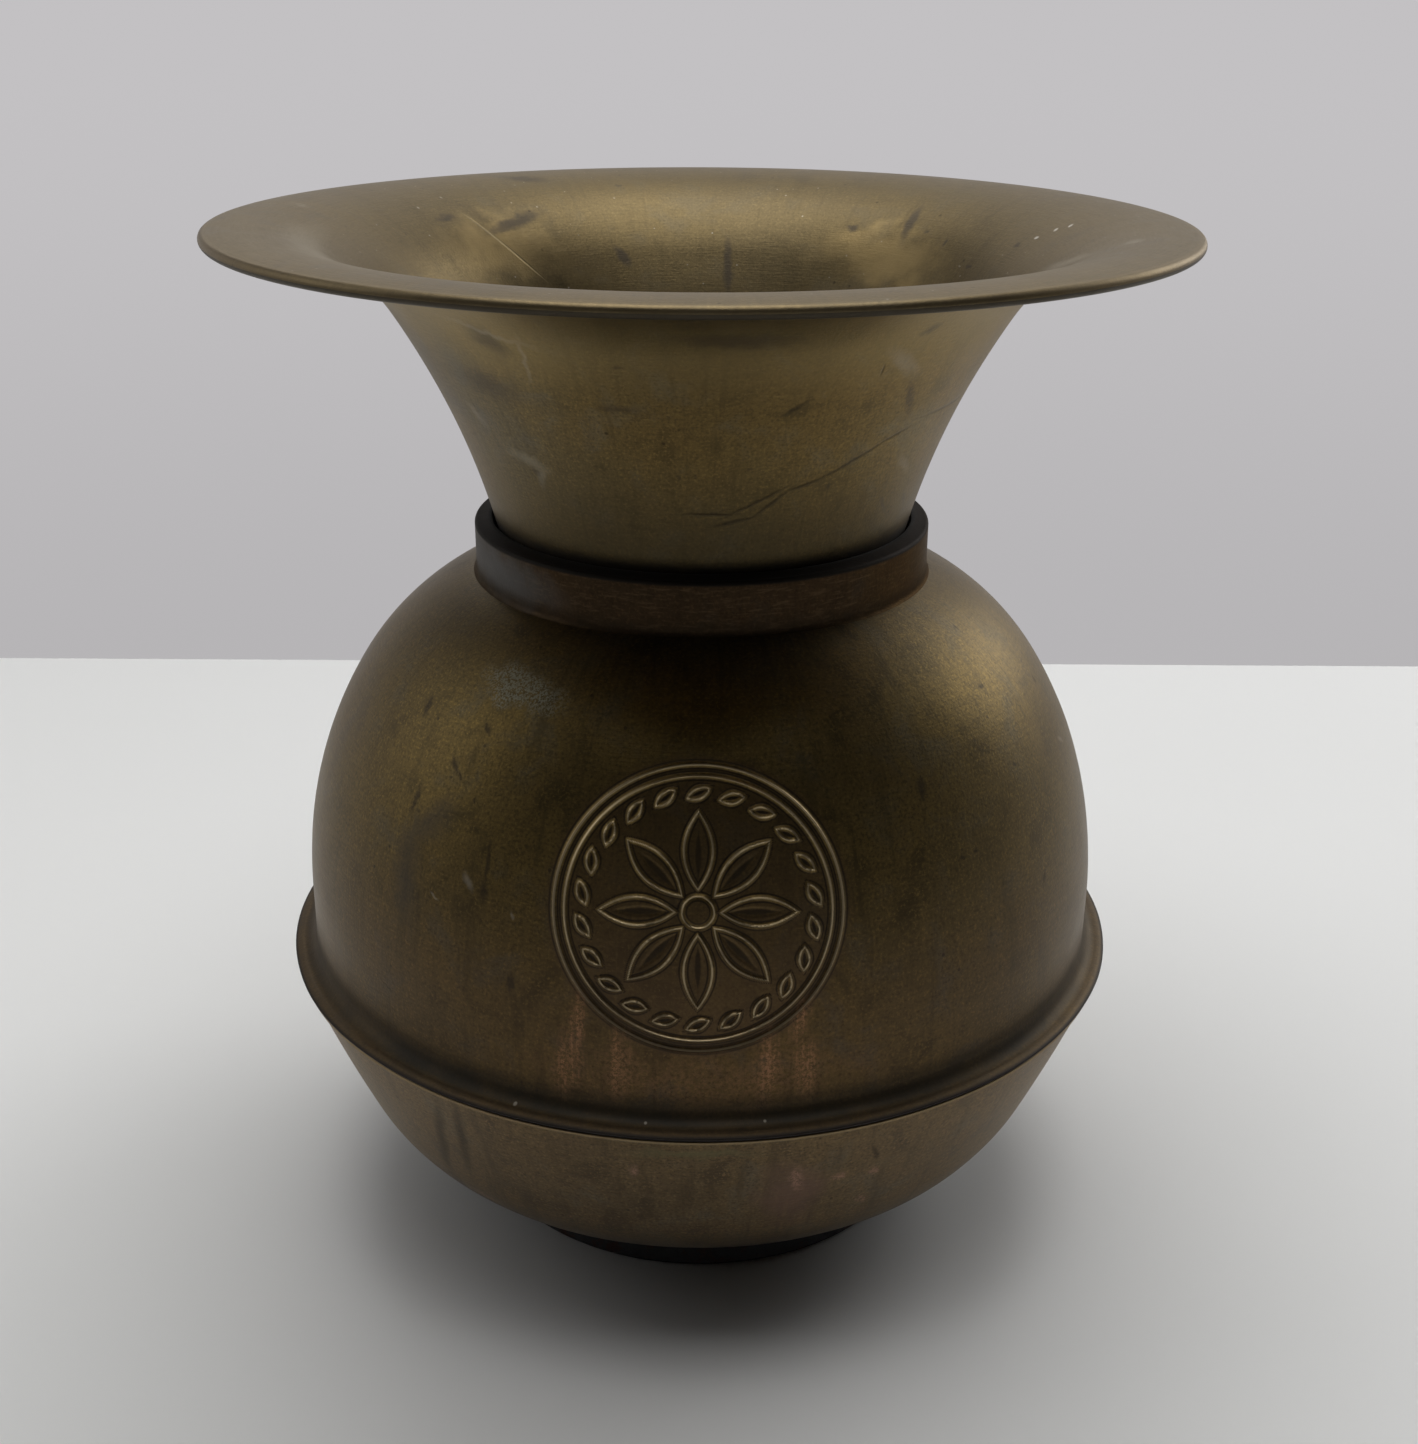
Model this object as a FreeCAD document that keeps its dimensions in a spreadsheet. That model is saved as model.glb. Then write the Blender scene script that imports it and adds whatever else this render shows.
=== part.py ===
import FreeCAD, Part
import os
import Sketcher
from FreeCAD import Placement, Rotation, Vector

# A two-piece spun brass spittoon: a trumpet funnel that lifts out of a collar, a domed upper
# body seamed to a bowl, and a cast-iron weight bolted under the bowl.
#
# Millimetres. The axis of the vessel is Z, the surface it stands on is Z = 0, and the medallion
# faces -Y. Every brass wall is one sheet thick and follows arcs that run smoothly into each other.

DIMENSIONS = (
    # all brass is spun from one gauge of sheet
    ("sheet", 0.8),
    # overall: widest place of the body, edge of the funnel, and the heights stacked on the foot
    ("belly_radius", 112.8),
    ("rim_radius", 127.0),
    ("foot_height", 14.0),
    ("bowl_depth", 64.2),
    ("skirt_height", 19.8),
    ("dome_rise", 90.8),
    ("collar_height", 12.9),
    ("funnel_rise", 78.4),
    # foot: a cast-iron weight, hollow below
    ("foot_flare", 4.5),
    ("foot_top_margin", 2.0),
    ("foot_bevel", 1.2),
    ("foot_rim_width", 9.0),
    ("foot_plate", 7.0),
    # lower bowl: set back under the skirt's edge, with angles below level at which its wall faces
    ("bowl_floor_radius", 61.0),
    ("bowl_setback", 1.6),
    ("bowl_rim_overhang", 0.8),
    ("bowl_rim_depth", 1.0),
    ("bowl_flange_width", 6.0),
    ("bowl_top_angle", 19.8),
    ("bowl_knee_angle", 24.3),
    # upper body: cove and edge of the skirt, and angles above level at which the dome faces
    ("cove_radius", 4.5),
    ("skirt_lip", 1.8),
    ("skirt_thickness", 2.2),
    ("skirt_hem_width", 4.6),
    ("dome_joint_angle", 31.5),
    ("dome_top_angle", 71.6),
    # collar: a channel that stands on the dome and on the ledge inside it
    ("collar_bore", 57.2),
    ("collar_width", 4.9),
    ("collar_crown", 0.7),
    ("collar_round", 1.0),
    ("ledge_margin", 1.0),
    ("ledge_reach", 6.3),
    # seat washer, and the funnel that rests on it
    ("washer_thickness", 3.0),
    ("washer_clearance", 0.4),
    ("funnel_clearance", 0.6),
    ("spigot_clearance", 0.7),
    ("spigot_length", 16.0),
    ("throat_slope", 14.8),
    ("flare_slope", 32.5),
    ("brim_width", 8.0),
    ("curl_radius", 1.5),
    ("wire_clearance", 0.1),
    # bolt through the bowl's floor and the weight
    ("bolt_radius", 3.175),
    ("bolt_clearance", 0.4),
    ("bolt_head_radius", 7.0),
    ("bolt_head_height", 3.4),
    ("bolt_slot_width", 1.4),
    ("bolt_slot_depth", 1.5),
    ("bolt_overrun", 0.8),
    ("bolt_ground_gap", 1.2),
    ("seal_radius", 14.0),
    ("seal_thickness", 1.6),
    ("plain_washer_radius", 11.0),
    ("plain_washer_thickness", 1.5),
    ("nut_width", 11.1),
    ("nut_thickness", 5.5),
    ("nut_recess_margin", 5.0),
    ("thread_clearance", 0.05),
    # medallion pressed into the front of the dome: ring beads round an eight-petal rosette
    ("medallion_rise", 37.0),
    ("medallion_radius", 35.0),
    ("bead_width", 1.0),
    ("bead_spacing", 2.6),
    ("relief", 0.5),
    ("petal_length", 19.0),
    ("petal_width", 7.5),
    ("petal_start", 5.0),
    ("boss_radius", 3.6),
)
PETALS = 8
FULL_TURN = 360

# how a sketch numbers its own axes, its origin, and the ends and centre of an edge
HORIZONTAL_AXIS = -1
VERTICAL_AXIS = -2
ORIGIN_POINT = (-1, 1)
FIRST_END = 1
LAST_END = 2
CENTRE = 3

document = FreeCAD.newDocument("Spittoon")
sheet = document.addObject("Spreadsheet::Sheet", "Dims")
for row, (alias, value) in enumerate(DIMENSIONS, start=1):
    sheet.set(f"A{row}", alias.replace("_", " "))
    sheet.set(f"B{row}", str(value))
    sheet.setAlias(f"B{row}", alias)
layout = document.addObject("App::VarSet", "Layout")
document.recompute()


def number(expression):
    """The present value of an expression of sheet and layout names."""
    return float(layout.evalExpression(expression))


def derive(name, expression):
    """Keep a worked-out size or place under a name; its siblings are called by bare name."""
    layout.addProperty("App::PropertyFloat", name)
    layout.setExpression(name, expression)
    document.recompute()


class SmoothPair:
    """Two arcs that run into each other between two points.

    The angles are the directions, from +X towards +Z, in which the arcs' points lie from their
    centres at the start, at the joint and at the end. The two radii follow from them. Points and
    radii can be asked for at an offset away from the centres.
    """

    def __init__(self, name, start, end, angles):
        self.name = name
        self.start = start
        self.end = end
        self.angles = angles
        first, joint, last = angles
        first_x = f"(cos({joint}) - cos({first}))"
        first_z = f"(sin({joint}) - sin({first}))"
        last_x = f"(cos({last}) - cos({joint}))"
        last_z = f"(sin({last}) - sin({joint}))"
        run = f"(({end[0]}) - ({start[0]}))"
        rise = f"(({end[1]}) - ({start[1]}))"
        spread = f"({first_x} * {last_z} - {last_x} * {first_z})"
        derive(f"{name}_first_bow", f"({run} * {last_z} - {last_x} * {rise}) / {spread}")
        derive(f"{name}_last_bow", f"({first_x} * {rise} - {first_z} * {run}) / {spread}")
        derive(f"{name}_joint_x", f"({start[0]}) + {name}_first_bow * {first_x}")
        derive(f"{name}_joint_z", f"({start[1]}) + {name}_first_bow * {first_z}")

    def first_radius(self, offset="0"):
        return f"Layout.{self.name}_first_bow + ({offset})"

    def last_radius(self, offset="0"):
        return f"Layout.{self.name}_last_bow + ({offset})"

    def start_point(self, offset="0"):
        return beside(self.start, offset, self.angles[0])

    def joint_point(self, offset="0"):
        joint = (f"Layout.{self.name}_joint_x", f"Layout.{self.name}_joint_z")
        return beside(joint, offset, self.angles[1])

    def end_point(self, offset="0"):
        return beside(self.end, offset, self.angles[2])


def beside(point, offset, angle):
    """The point that lies an offset away in a direction."""
    return (f"{point[0]} + ({offset}) * cos({angle})", f"{point[1]} + ({offset}) * sin({angle})")


def attach(body, name, plane):
    """An empty sketch on one of the body's own origin planes."""
    sketch = body.newObject("Sketcher::SketchObject", name)
    support = next(item for item in body.Origin.OriginFeatures if item.Role == plane)
    sketch.AttachmentSupport = [(support, "")]
    sketch.MapMode = "FlatFace"
    return sketch


def bind(sketch, name, constraint, expression):
    """Add a constraint whose value is an expression."""
    index = sketch.addConstraint(constraint)
    sketch.renameConstraint(index, name)
    sketch.setExpression(f"Constraints.{name}", expression)


def pin_down(sketch, name, edge, end, place):
    """Hold a point of an edge at a place given as two expressions."""
    directions = (("x", "DistanceX", VERTICAL_AXIS), ("y", "DistanceY", HORIZONTAL_AXIS))
    for (letter, kind, zero_line), expression in zip(directions, place):
        if expression == "0":
            sketch.addConstraint(Sketcher.Constraint("PointOnObject", edge, end, zero_line))
        else:
            constraint = Sketcher.Constraint(kind, *ORIGIN_POINT, edge, end, number(expression))
            bind(sketch, f"{name}_{letter}", constraint, expression)


def through(start, end, radius, turn):
    """The arc between two points that turns left (1) or right (-1) with a radius."""
    half = (end - start) * 0.5
    left = Vector(-half.y, half.x, 0).normalize()
    rise = max(radius**2 - half.Length**2, 0.0) ** 0.5
    centre = start + half + left * (turn * rise)
    middle = centre - left * (turn * radius)
    return Part.Arc(start, middle, end)


def draw_outline(body, name, corners, plane="XZ_Plane"):
    """A closed outline on one of the body's planes.

    A corner is (across, up), or (across, up, radius, turn) where an arc leaves it for the next
    corner. All are expressions but turn, which is 1 for a left and -1 for a right turn.
    """
    sketch = attach(body, name, plane)
    points = [Vector(number(corner[0]), number(corner[1]), 0) for corner in corners]
    ends = []
    for index, corner in enumerate(corners):
        start = points[index]
        end = points[(index + 1) % len(points)]
        if len(corner) == 2:
            edge = sketch.addGeometry(Part.LineSegment(start, end), False)
        else:
            edge = sketch.addGeometry(through(start, end, number(corner[2]), corner[3]), False)
        turns_right = len(corner) == 4 and corner[3] < 0
        ends.append((edge, LAST_END, FIRST_END) if turns_right else (edge, FIRST_END, LAST_END))
    for index, corner in enumerate(corners):
        edge, first, last = ends[index]
        follower, follower_first, _ = ends[(index + 1) % len(ends)]
        sketch.addConstraint(Sketcher.Constraint("Coincident", edge, last, follower, follower_first))
        pin_down(sketch, f"corner{index}", edge, first, corner)
    for index, corner in enumerate(corners):
        if len(corner) == 4:
            constraint = Sketcher.Constraint("Radius", ends[index][0], number(corner[2]))
            bind(sketch, f"radius{index}", constraint, corner[2])
    return sketch


def new_body(name):
    body = document.addObject("PartDesign::Body", name)
    body.Label = name
    return body


def spin(name, corners):
    """A solid of revolution about Z."""
    body = new_body(name)
    outline = draw_outline(body, f"{name}_outline", corners)
    turned = body.newObject("PartDesign::Revolution", f"{name}_turned")
    turned.Profile = outline
    turned.ReferenceAxis = (outline, ["V_Axis"])
    turned.Angle = FULL_TURN
    return body


def disc(name, bore, radius, bottom, top):
    """A flat ring or washer."""
    return spin(name, [(bore, bottom), (radius, bottom), (radius, top), (bore, top)])


# ---------------------------------------------------------------- places that pieces share

BOLT_HOLE = "Dims.bolt_radius + Dims.bolt_clearance"
derive("nut_bottom", "Dims.bolt_ground_gap + Dims.bolt_overrun")
derive("nut_seat", "nut_bottom + Dims.nut_thickness")
derive("recess_top", "nut_seat + Dims.plain_washer_thickness")
derive("recess_radius", "Dims.plain_washer_radius + Dims.nut_recess_margin")
derive("seal_top", "Dims.foot_height + Dims.sheet + Dims.seal_thickness")
derive("head_seat", "seal_top + Dims.plain_washer_thickness")
derive("seam_height", "Dims.foot_height + Dims.bowl_depth")
derive("skirt_top", "seam_height + Dims.skirt_thickness")
derive("belly_height", "seam_height + Dims.skirt_height")
derive("ledge_height", "belly_height + Dims.dome_rise")
derive("funnel_seat", "ledge_height + Dims.washer_thickness")
derive("collar_top", "ledge_height + Dims.collar_height")
derive("crown_top", "collar_top + Dims.collar_crown")
derive("rim_top", "crown_top + Dims.funnel_rise")
derive("skirt_radius", "Dims.belly_radius + Dims.cove_radius + Dims.skirt_lip")
derive("bowl_radius", "skirt_radius - Dims.bowl_setback")
derive("collar_radius", "Dims.collar_bore + Dims.collar_width")
derive("ledge_radius", "Dims.collar_bore + Dims.sheet + Dims.ledge_margin")
derive("mouth_radius", "Dims.collar_bore - Dims.ledge_reach")


# ---------------------------------------------------------------- foot weight

def foot_weight():
    """Cast-iron weight: a flat top under the bowl's floor, sloping sides and a hollow below."""
    top_radius = "Dims.bowl_floor_radius + Dims.foot_top_margin"
    radius = f"{top_radius} + Dims.foot_flare"
    return spin("foot_weight", [
        (BOLT_HOLE, "Layout.recess_top"),
        ("Layout.recess_radius", "Layout.recess_top"),
        ("Layout.recess_radius", "Dims.foot_height - Dims.foot_plate"),
        (f"{radius} - Dims.foot_rim_width", "Dims.foot_height - Dims.foot_plate"),
        (f"{radius} - Dims.foot_rim_width", "0"),
        (f"{radius} - Dims.foot_bevel", "0"),
        (radius, "Dims.foot_bevel"),
        (top_radius, "Dims.foot_height"),
        (BOLT_HOLE, "Dims.foot_height"),
    ])


# ---------------------------------------------------------------- lower bowl

bowl_wall = SmoothPair(
    "bowl",
    start=("Layout.bowl_radius", "Layout.seam_height - Dims.bowl_rim_depth"),
    end=("Dims.bowl_floor_radius", "Dims.foot_height"),
    angles=("-Dims.bowl_top_angle", "-Dims.bowl_knee_angle", "-90"),
)


def lower_bowl():
    """Bowl with a flat floor and an inward flange at the seam."""
    inner = "-Dims.sheet"
    lip = "Layout.bowl_radius + Dims.bowl_rim_overhang"
    bore = "Layout.bowl_radius - Dims.bowl_flange_width"
    return spin("lower_bowl", [
        (BOLT_HOLE, "Dims.foot_height"),
        (*bowl_wall.end_point(), bowl_wall.last_radius(), 1),
        (*bowl_wall.joint_point(), bowl_wall.first_radius(), 1),
        bowl_wall.start_point(),
        (lip, "Layout.seam_height - Dims.bowl_rim_depth"),
        (lip, "Layout.seam_height"),
        (bore, "Layout.seam_height"),
        (bore, "Layout.seam_height - Dims.bowl_rim_depth"),
        (*bowl_wall.start_point(inner), bowl_wall.first_radius(inner), -1),
        (*bowl_wall.joint_point(inner), bowl_wall.last_radius(inner), -1),
        bowl_wall.end_point(inner),
        (BOLT_HOLE, "Dims.foot_height + Dims.sheet"),
    ])


# ---------------------------------------------------------------- upper body

dome_wall = SmoothPair(
    "dome",
    start=("Dims.belly_radius", "Layout.belly_height"),
    end=("Layout.ledge_radius", "Layout.ledge_height"),
    angles=("0", "Dims.dome_joint_angle", "Dims.dome_top_angle"),
)
# centre of the dome's upper arc, on which the collar stands
derive("dome_top_x", "ledge_radius - dome_last_bow * cos(Dims.dome_top_angle)")
derive("dome_top_z", "ledge_height - dome_last_bow * sin(Dims.dome_top_angle)")
derive("cove_top", "skirt_top + Dims.cove_radius")
derive("hem_bore", "skirt_radius - Dims.skirt_hem_width")
derive("hem_edge_round", "Dims.skirt_thickness / 2")


def on_dome(radius):
    """Height of the dome's outer face at a distance from the axis."""
    return f"Layout.dome_top_z + sqrt(Layout.dome_last_bow^2 - ({radius} - Layout.dome_top_x)^2)"


def dome_shell():
    """Dome with a coved skirt that closes over the bowl's flange, and a ledge at the neck."""
    inner = "-Dims.sheet"
    cove_end = "Dims.belly_radius + Dims.cove_radius"
    edge = "Layout.skirt_radius - Layout.hem_edge_round"
    inner_cove = "Dims.cove_radius + Dims.sheet"
    hem_top = f"Layout.cove_top - sqrt(({inner_cove})^2 - ({cove_end} - Layout.hem_bore)^2)"
    ledge_under = "Layout.ledge_height - Dims.sheet"
    return spin("dome_shell", [
        ("Layout.mouth_radius", ledge_under),
        (dome_wall.end_point(inner)[0], ledge_under),
        (*dome_wall.end_point(inner), dome_wall.last_radius(inner), -1),
        (*dome_wall.joint_point(inner), dome_wall.first_radius(inner), -1),
        dome_wall.start_point(inner),
        ("Dims.belly_radius - Dims.sheet", "Layout.cove_top", inner_cove, 1),
        ("Layout.hem_bore", hem_top),
        ("Layout.hem_bore", "Layout.seam_height"),
        (edge, "Layout.seam_height", "Layout.hem_edge_round", 1),
        ("Layout.skirt_radius", "Layout.seam_height + Layout.hem_edge_round", "Layout.hem_edge_round", 1),
        (edge, "Layout.skirt_top"),
        (cove_end, "Layout.skirt_top", "Dims.cove_radius", -1),
        ("Dims.belly_radius", "Layout.cove_top"),
        (*dome_wall.start_point(), dome_wall.first_radius(), 1),
        (*dome_wall.joint_point(), dome_wall.last_radius(), 1),
        dome_wall.end_point(),
        ("Layout.mouth_radius", "Layout.ledge_height"),
    ])


def relief_skin():
    """A skin over the dome, from mid-sheet out to the height of the medallion's relief."""
    inner = "-Dims.sheet / 2"
    outer = "Dims.relief"
    return spin("relief_skin", [
        (*dome_wall.end_point(inner), dome_wall.last_radius(inner), -1),
        (*dome_wall.joint_point(inner), dome_wall.first_radius(inner), -1),
        dome_wall.start_point(inner),
        (*dome_wall.start_point(outer), dome_wall.first_radius(outer), 1),
        (*dome_wall.joint_point(outer), dome_wall.last_radius(outer), 1),
        dome_wall.end_point(outer),
    ])


def ring_sketch(body, name, radii):
    """Concentric circles round the origin of the body's XZ plane."""
    sketch = attach(body, name, "XZ_Plane")
    for index, radius in enumerate(radii):
        circle = sketch.addGeometry(Part.Circle(Vector(), Vector(0, 0, 1), number(radius)), False)
        sketch.addConstraint(Sketcher.Constraint("Coincident", circle, CENTRE, *ORIGIN_POINT))
        bind(sketch, f"radius{index}", Sketcher.Constraint("Radius", circle, number(radius)), radius)
    return sketch


derive("medallion_tilt", "asin(Dims.medallion_rise / dome_first_bow)")


def medallion_stamp():
    """The medallion's pattern as prisms that reach from the axis out through the dome."""
    body = new_body("medallion_stamp")
    bead_edges = (
        "Dims.medallion_radius",
        "Dims.medallion_radius - Dims.bead_width",
        "Dims.medallion_radius - Dims.bead_spacing",
        "Dims.medallion_radius - Dims.bead_spacing - Dims.bead_width",
        "Dims.boss_radius",
    )
    beads = body.newObject("PartDesign::Pad", "beads")
    beads.Profile = ring_sketch(body, "bead_rings", bead_edges)
    beads.setExpression("Length", "Layout.skirt_radius")
    half = "Dims.petal_width / 2"
    tip = "Dims.petal_start + Dims.petal_length"
    bow = "Dims.petal_length^2 / (4 * Dims.petal_width) + Dims.petal_width / 4"
    petal = body.newObject("PartDesign::Pad", "petal")
    petal.Profile = draw_outline(body, "petal_outline", [
        ("0", "Dims.petal_start", bow, 1),
        (half, "Dims.petal_start + Dims.petal_length / 2", bow, 1),
        ("0", tip, bow, 1),
        (f"-{half}", "Dims.petal_start + Dims.petal_length / 2", bow, 1),
    ])
    petal.setExpression("Length", "Layout.skirt_radius")
    rosette = body.newObject("PartDesign::PolarPattern", "rosette")
    rosette.Originals = [petal]
    y_axis = next(item for item in body.Origin.OriginFeatures if item.Role == "Y_Axis")
    rosette.Axis = (y_axis, [""])
    rosette.Angle = FULL_TURN
    rosette.Occurrences = PETALS
    body.Tip = rosette
    body.Placement = Placement(Vector(), Rotation(Vector(-1, 0, 0), number("Layout.medallion_tilt")))
    body.setExpression("Placement.Base.y", "Layout.dome_first_bow - Dims.belly_radius")
    body.setExpression("Placement.Base.z", "Layout.belly_height")
    body.setExpression("Placement.Rotation.Angle", "Layout.medallion_tilt")
    return body


def upper_body():
    """The dome with its medallion."""
    raised = document.addObject("Part::MultiCommon", "raised_pattern")
    raised.Shapes = [relief_skin(), medallion_stamp()]
    whole = document.addObject("Part::MultiFuse", "upper_body")
    whole.Shapes = [dome_shell(), raised]
    return whole


# ---------------------------------------------------------------- collar and seat washer

def neck_collar():
    """Channel with its open side down: the outer leg stands on the dome, the inner on the ledge."""
    outer = "Layout.collar_radius"
    inner = "Layout.collar_radius - Dims.sheet"
    bore_side = "Dims.collar_bore + Dims.sheet"
    return spin("neck_collar", [
        (outer, on_dome(outer)),
        (outer, "Layout.collar_top - Dims.collar_round", "Dims.collar_round", 1),
        (f"{outer} - Dims.collar_round", "Layout.collar_top"),
        ("Dims.collar_bore", "Layout.crown_top"),
        ("Dims.collar_bore", "Layout.ledge_height"),
        (bore_side, "Layout.ledge_height"),
        (bore_side, "Layout.crown_top - Dims.sheet"),
        (inner, "Layout.collar_top - Dims.sheet"),
        (inner, on_dome(inner), "Layout.dome_last_bow", -1),
    ])


def seat_washer():
    """Soft ring on the ledge, loose inside the collar."""
    bore = "Layout.mouth_radius + Dims.washer_clearance"
    radius = "Dims.collar_bore - Dims.washer_clearance"
    return disc("seat_washer", bore, radius, "Layout.ledge_height", "Layout.funnel_seat")


# ---------------------------------------------------------------- funnel

flare = SmoothPair(
    "funnel",
    start=("Dims.collar_bore - Dims.funnel_clearance", "Layout.crown_top"),
    end=("Dims.rim_radius - Dims.brim_width", "Layout.rim_top - Dims.sheet"),
    angles=("180 - Dims.throat_slope", "180 - Dims.flare_slope", "90"),
)
derive("spigot_radius", "mouth_radius - Dims.spigot_clearance")
derive("curl_x", "Dims.rim_radius - Dims.curl_radius")
derive("curl_z", "rim_top - Dims.curl_radius")
derive("curl_bore", "Dims.curl_radius - Dims.sheet")


def down_throat(point, height):
    """Where the straight cone below a point of the funnel's wall reaches a height."""
    return f"{point[0]} - ({point[1]} - ({height})) * tan(Dims.throat_slope)", height


def curl_point(side, height, radius):
    """A point of the rolled edge, one radius from its centre."""
    across = f"Layout.curl_x + ({side}) * ({radius})"
    up = f"Layout.curl_z + ({height}) * ({radius})"
    return across, up


def funnel():
    """Trumpet with a stepped spigot below and an edge rolled under round a wire."""
    sheet_side = "Dims.sheet"
    step_top = "Layout.funnel_seat + Dims.sheet"
    spigot_bottom = "Layout.funnel_seat - Dims.spigot_length"
    spigot_bore = "Layout.spigot_radius - Dims.sheet"
    within = "Layout.curl_bore"
    around = "Dims.curl_radius"
    return spin("funnel", [
        ("Layout.spigot_radius", spigot_bottom),
        ("Layout.spigot_radius", "Layout.funnel_seat"),
        down_throat(flare.start_point(), "Layout.funnel_seat"),
        (*flare.start_point(), flare.first_radius(), -1),
        (*flare.joint_point(), flare.last_radius(), -1),
        flare.end_point(),
        (*curl_point("0", "1", within), within, -1),
        (*curl_point("1", "0", within), within, -1),
        (*curl_point("0", "-1", within), within, -1),
        curl_point("-1", "0", within),
        (*curl_point("-1", "0", around), around, 1),
        (*curl_point("0", "-1", around), around, 1),
        (*curl_point("1", "0", around), around, 1),
        curl_point("0", "1", around),
        (*flare.end_point(sheet_side), flare.last_radius(sheet_side), 1),
        (*flare.joint_point(sheet_side), flare.first_radius(sheet_side), 1),
        flare.start_point(sheet_side),
        down_throat(flare.start_point(sheet_side), step_top),
        (spigot_bore, step_top),
        (spigot_bore, spigot_bottom),
    ])


def rim_wire():
    """Round wire inside the rolled edge."""
    wire = document.addObject("Part::Torus", "rim_wire")
    wire.setExpression("Radius1", "Layout.curl_x")
    wire.setExpression("Radius2", "Layout.curl_bore - Dims.wire_clearance")
    wire.setExpression("Placement.Base.z", "Layout.curl_z")
    return wire


# ---------------------------------------------------------------- bolt, washers and nut

def base_bolt():
    """Round-headed bolt with a screwdriver slot, its head inside the bowl."""
    crown = "Dims.bolt_head_radius^2 / (2 * Dims.bolt_head_height) + Dims.bolt_head_height / 2"
    blank = spin("bolt_blank", [
        ("0", "Dims.bolt_ground_gap"),
        ("Dims.bolt_radius", "Dims.bolt_ground_gap"),
        ("Dims.bolt_radius", "Layout.head_seat"),
        ("Dims.bolt_head_radius", "Layout.head_seat", crown, 1),
        ("0", "Layout.head_seat + Dims.bolt_head_height"),
    ])
    slot = document.addObject("Part::Box", "bolt_slot")
    slot.setExpression("Length", "2 * Dims.bolt_head_radius")
    slot.setExpression("Width", "Dims.bolt_slot_width")
    slot.setExpression("Height", "2 * Dims.bolt_slot_depth")
    slot.setExpression("Placement.Base.x", "-Dims.bolt_head_radius")
    slot.setExpression("Placement.Base.y", "-Dims.bolt_slot_width / 2")
    slot.setExpression("Placement.Base.z", "Layout.head_seat + Dims.bolt_head_height - Dims.bolt_slot_depth")
    bolt = document.addObject("Part::Cut", "base_bolt")
    bolt.Base = blank
    bolt.Tool = slot
    return bolt


def base_nut():
    """Square nut below the weight's recess."""
    body = new_body("base_nut")
    half = "Dims.nut_width / 2"
    outline = draw_outline(body, "nut_outline", [
        (f"-{half}", f"-{half}"),
        (half, f"-{half}"),
        (half, half),
        (f"-{half}", half),
    ], plane="XY_Plane")
    bore = "Dims.bolt_radius + Dims.thread_clearance"
    circle = outline.addGeometry(Part.Circle(Vector(), Vector(0, 0, 1), number(bore)), False)
    outline.addConstraint(Sketcher.Constraint("Coincident", circle, CENTRE, *ORIGIN_POINT))
    bind(outline, "bore", Sketcher.Constraint("Radius", circle, number(bore)), bore)
    pad = body.newObject("PartDesign::Pad", "nut_pad")
    pad.Profile = outline
    pad.setExpression("Length", "Dims.nut_thickness")
    body.setExpression("Placement.Base.z", "Layout.nut_bottom")
    return body


def seal_washer():
    """Leather disc that keeps the bolt hole tight."""
    return disc("seal_washer", BOLT_HOLE, "Dims.seal_radius",
                "Dims.foot_height + Dims.sheet", "Layout.seal_top")


def head_washer():
    return disc("head_washer", BOLT_HOLE, "Dims.plain_washer_radius", "Layout.seal_top", "Layout.head_seat")


def nut_washer():
    return disc("nut_washer", BOLT_HOLE, "Dims.plain_washer_radius", "Layout.nut_seat", "Layout.recess_top")


PIECES = (foot_weight, lower_bowl, upper_body, neck_collar, seat_washer, funnel, rim_wire,
          base_bolt, seal_washer, head_washer, nut_washer, base_nut)
nodes = [piece() for piece in PIECES]
document.recompute()

for item in document.Objects:
    if {"Invalid", "Error"} & set(item.State):
        raise RuntimeError(f"{item.Name} did not compute: {item.State}")
for node in nodes:
    if node.Shape.isNull() or not node.Shape.isValid():
        raise RuntimeError(f"{node.Label} has no valid shape")

os.makedirs("parts", exist_ok=True)
for node in nodes:
    node.Shape.exportStep(f"parts/{node.Label}.step")
    box = node.Shape.BoundBox
    print(f"{node.Label:12s} solids {len(node.Shape.Solids)}  volume {node.Shape.Volume / 1000:7.1f} cm3"
          f"  radius {box.XMax:6.1f}  from {box.ZMin:6.1f} to {box.ZMax:6.1f}")
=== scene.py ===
import math

import bmesh
import bpy
import numpy as np
from mathutils import Matrix, Vector, noise


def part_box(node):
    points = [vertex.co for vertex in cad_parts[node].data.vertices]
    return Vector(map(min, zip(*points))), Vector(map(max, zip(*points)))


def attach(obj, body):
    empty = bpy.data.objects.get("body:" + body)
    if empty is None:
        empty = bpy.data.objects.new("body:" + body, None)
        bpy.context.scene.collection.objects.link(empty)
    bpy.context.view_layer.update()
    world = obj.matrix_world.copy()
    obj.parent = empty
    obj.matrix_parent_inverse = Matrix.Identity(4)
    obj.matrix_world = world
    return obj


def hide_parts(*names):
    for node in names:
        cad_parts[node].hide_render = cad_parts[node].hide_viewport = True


# Looks of a two-piece brass spittoon. Outlines are in millimetres as (radius, height) about the
# vessel's axis, meshes and shaders in metres. "turn" is the angle round the axis, 0 at the front
# where the medallion is and positive towards +X. Wall arcs are given by the directions, in
# degrees, in which their points lie from their centres.

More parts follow.
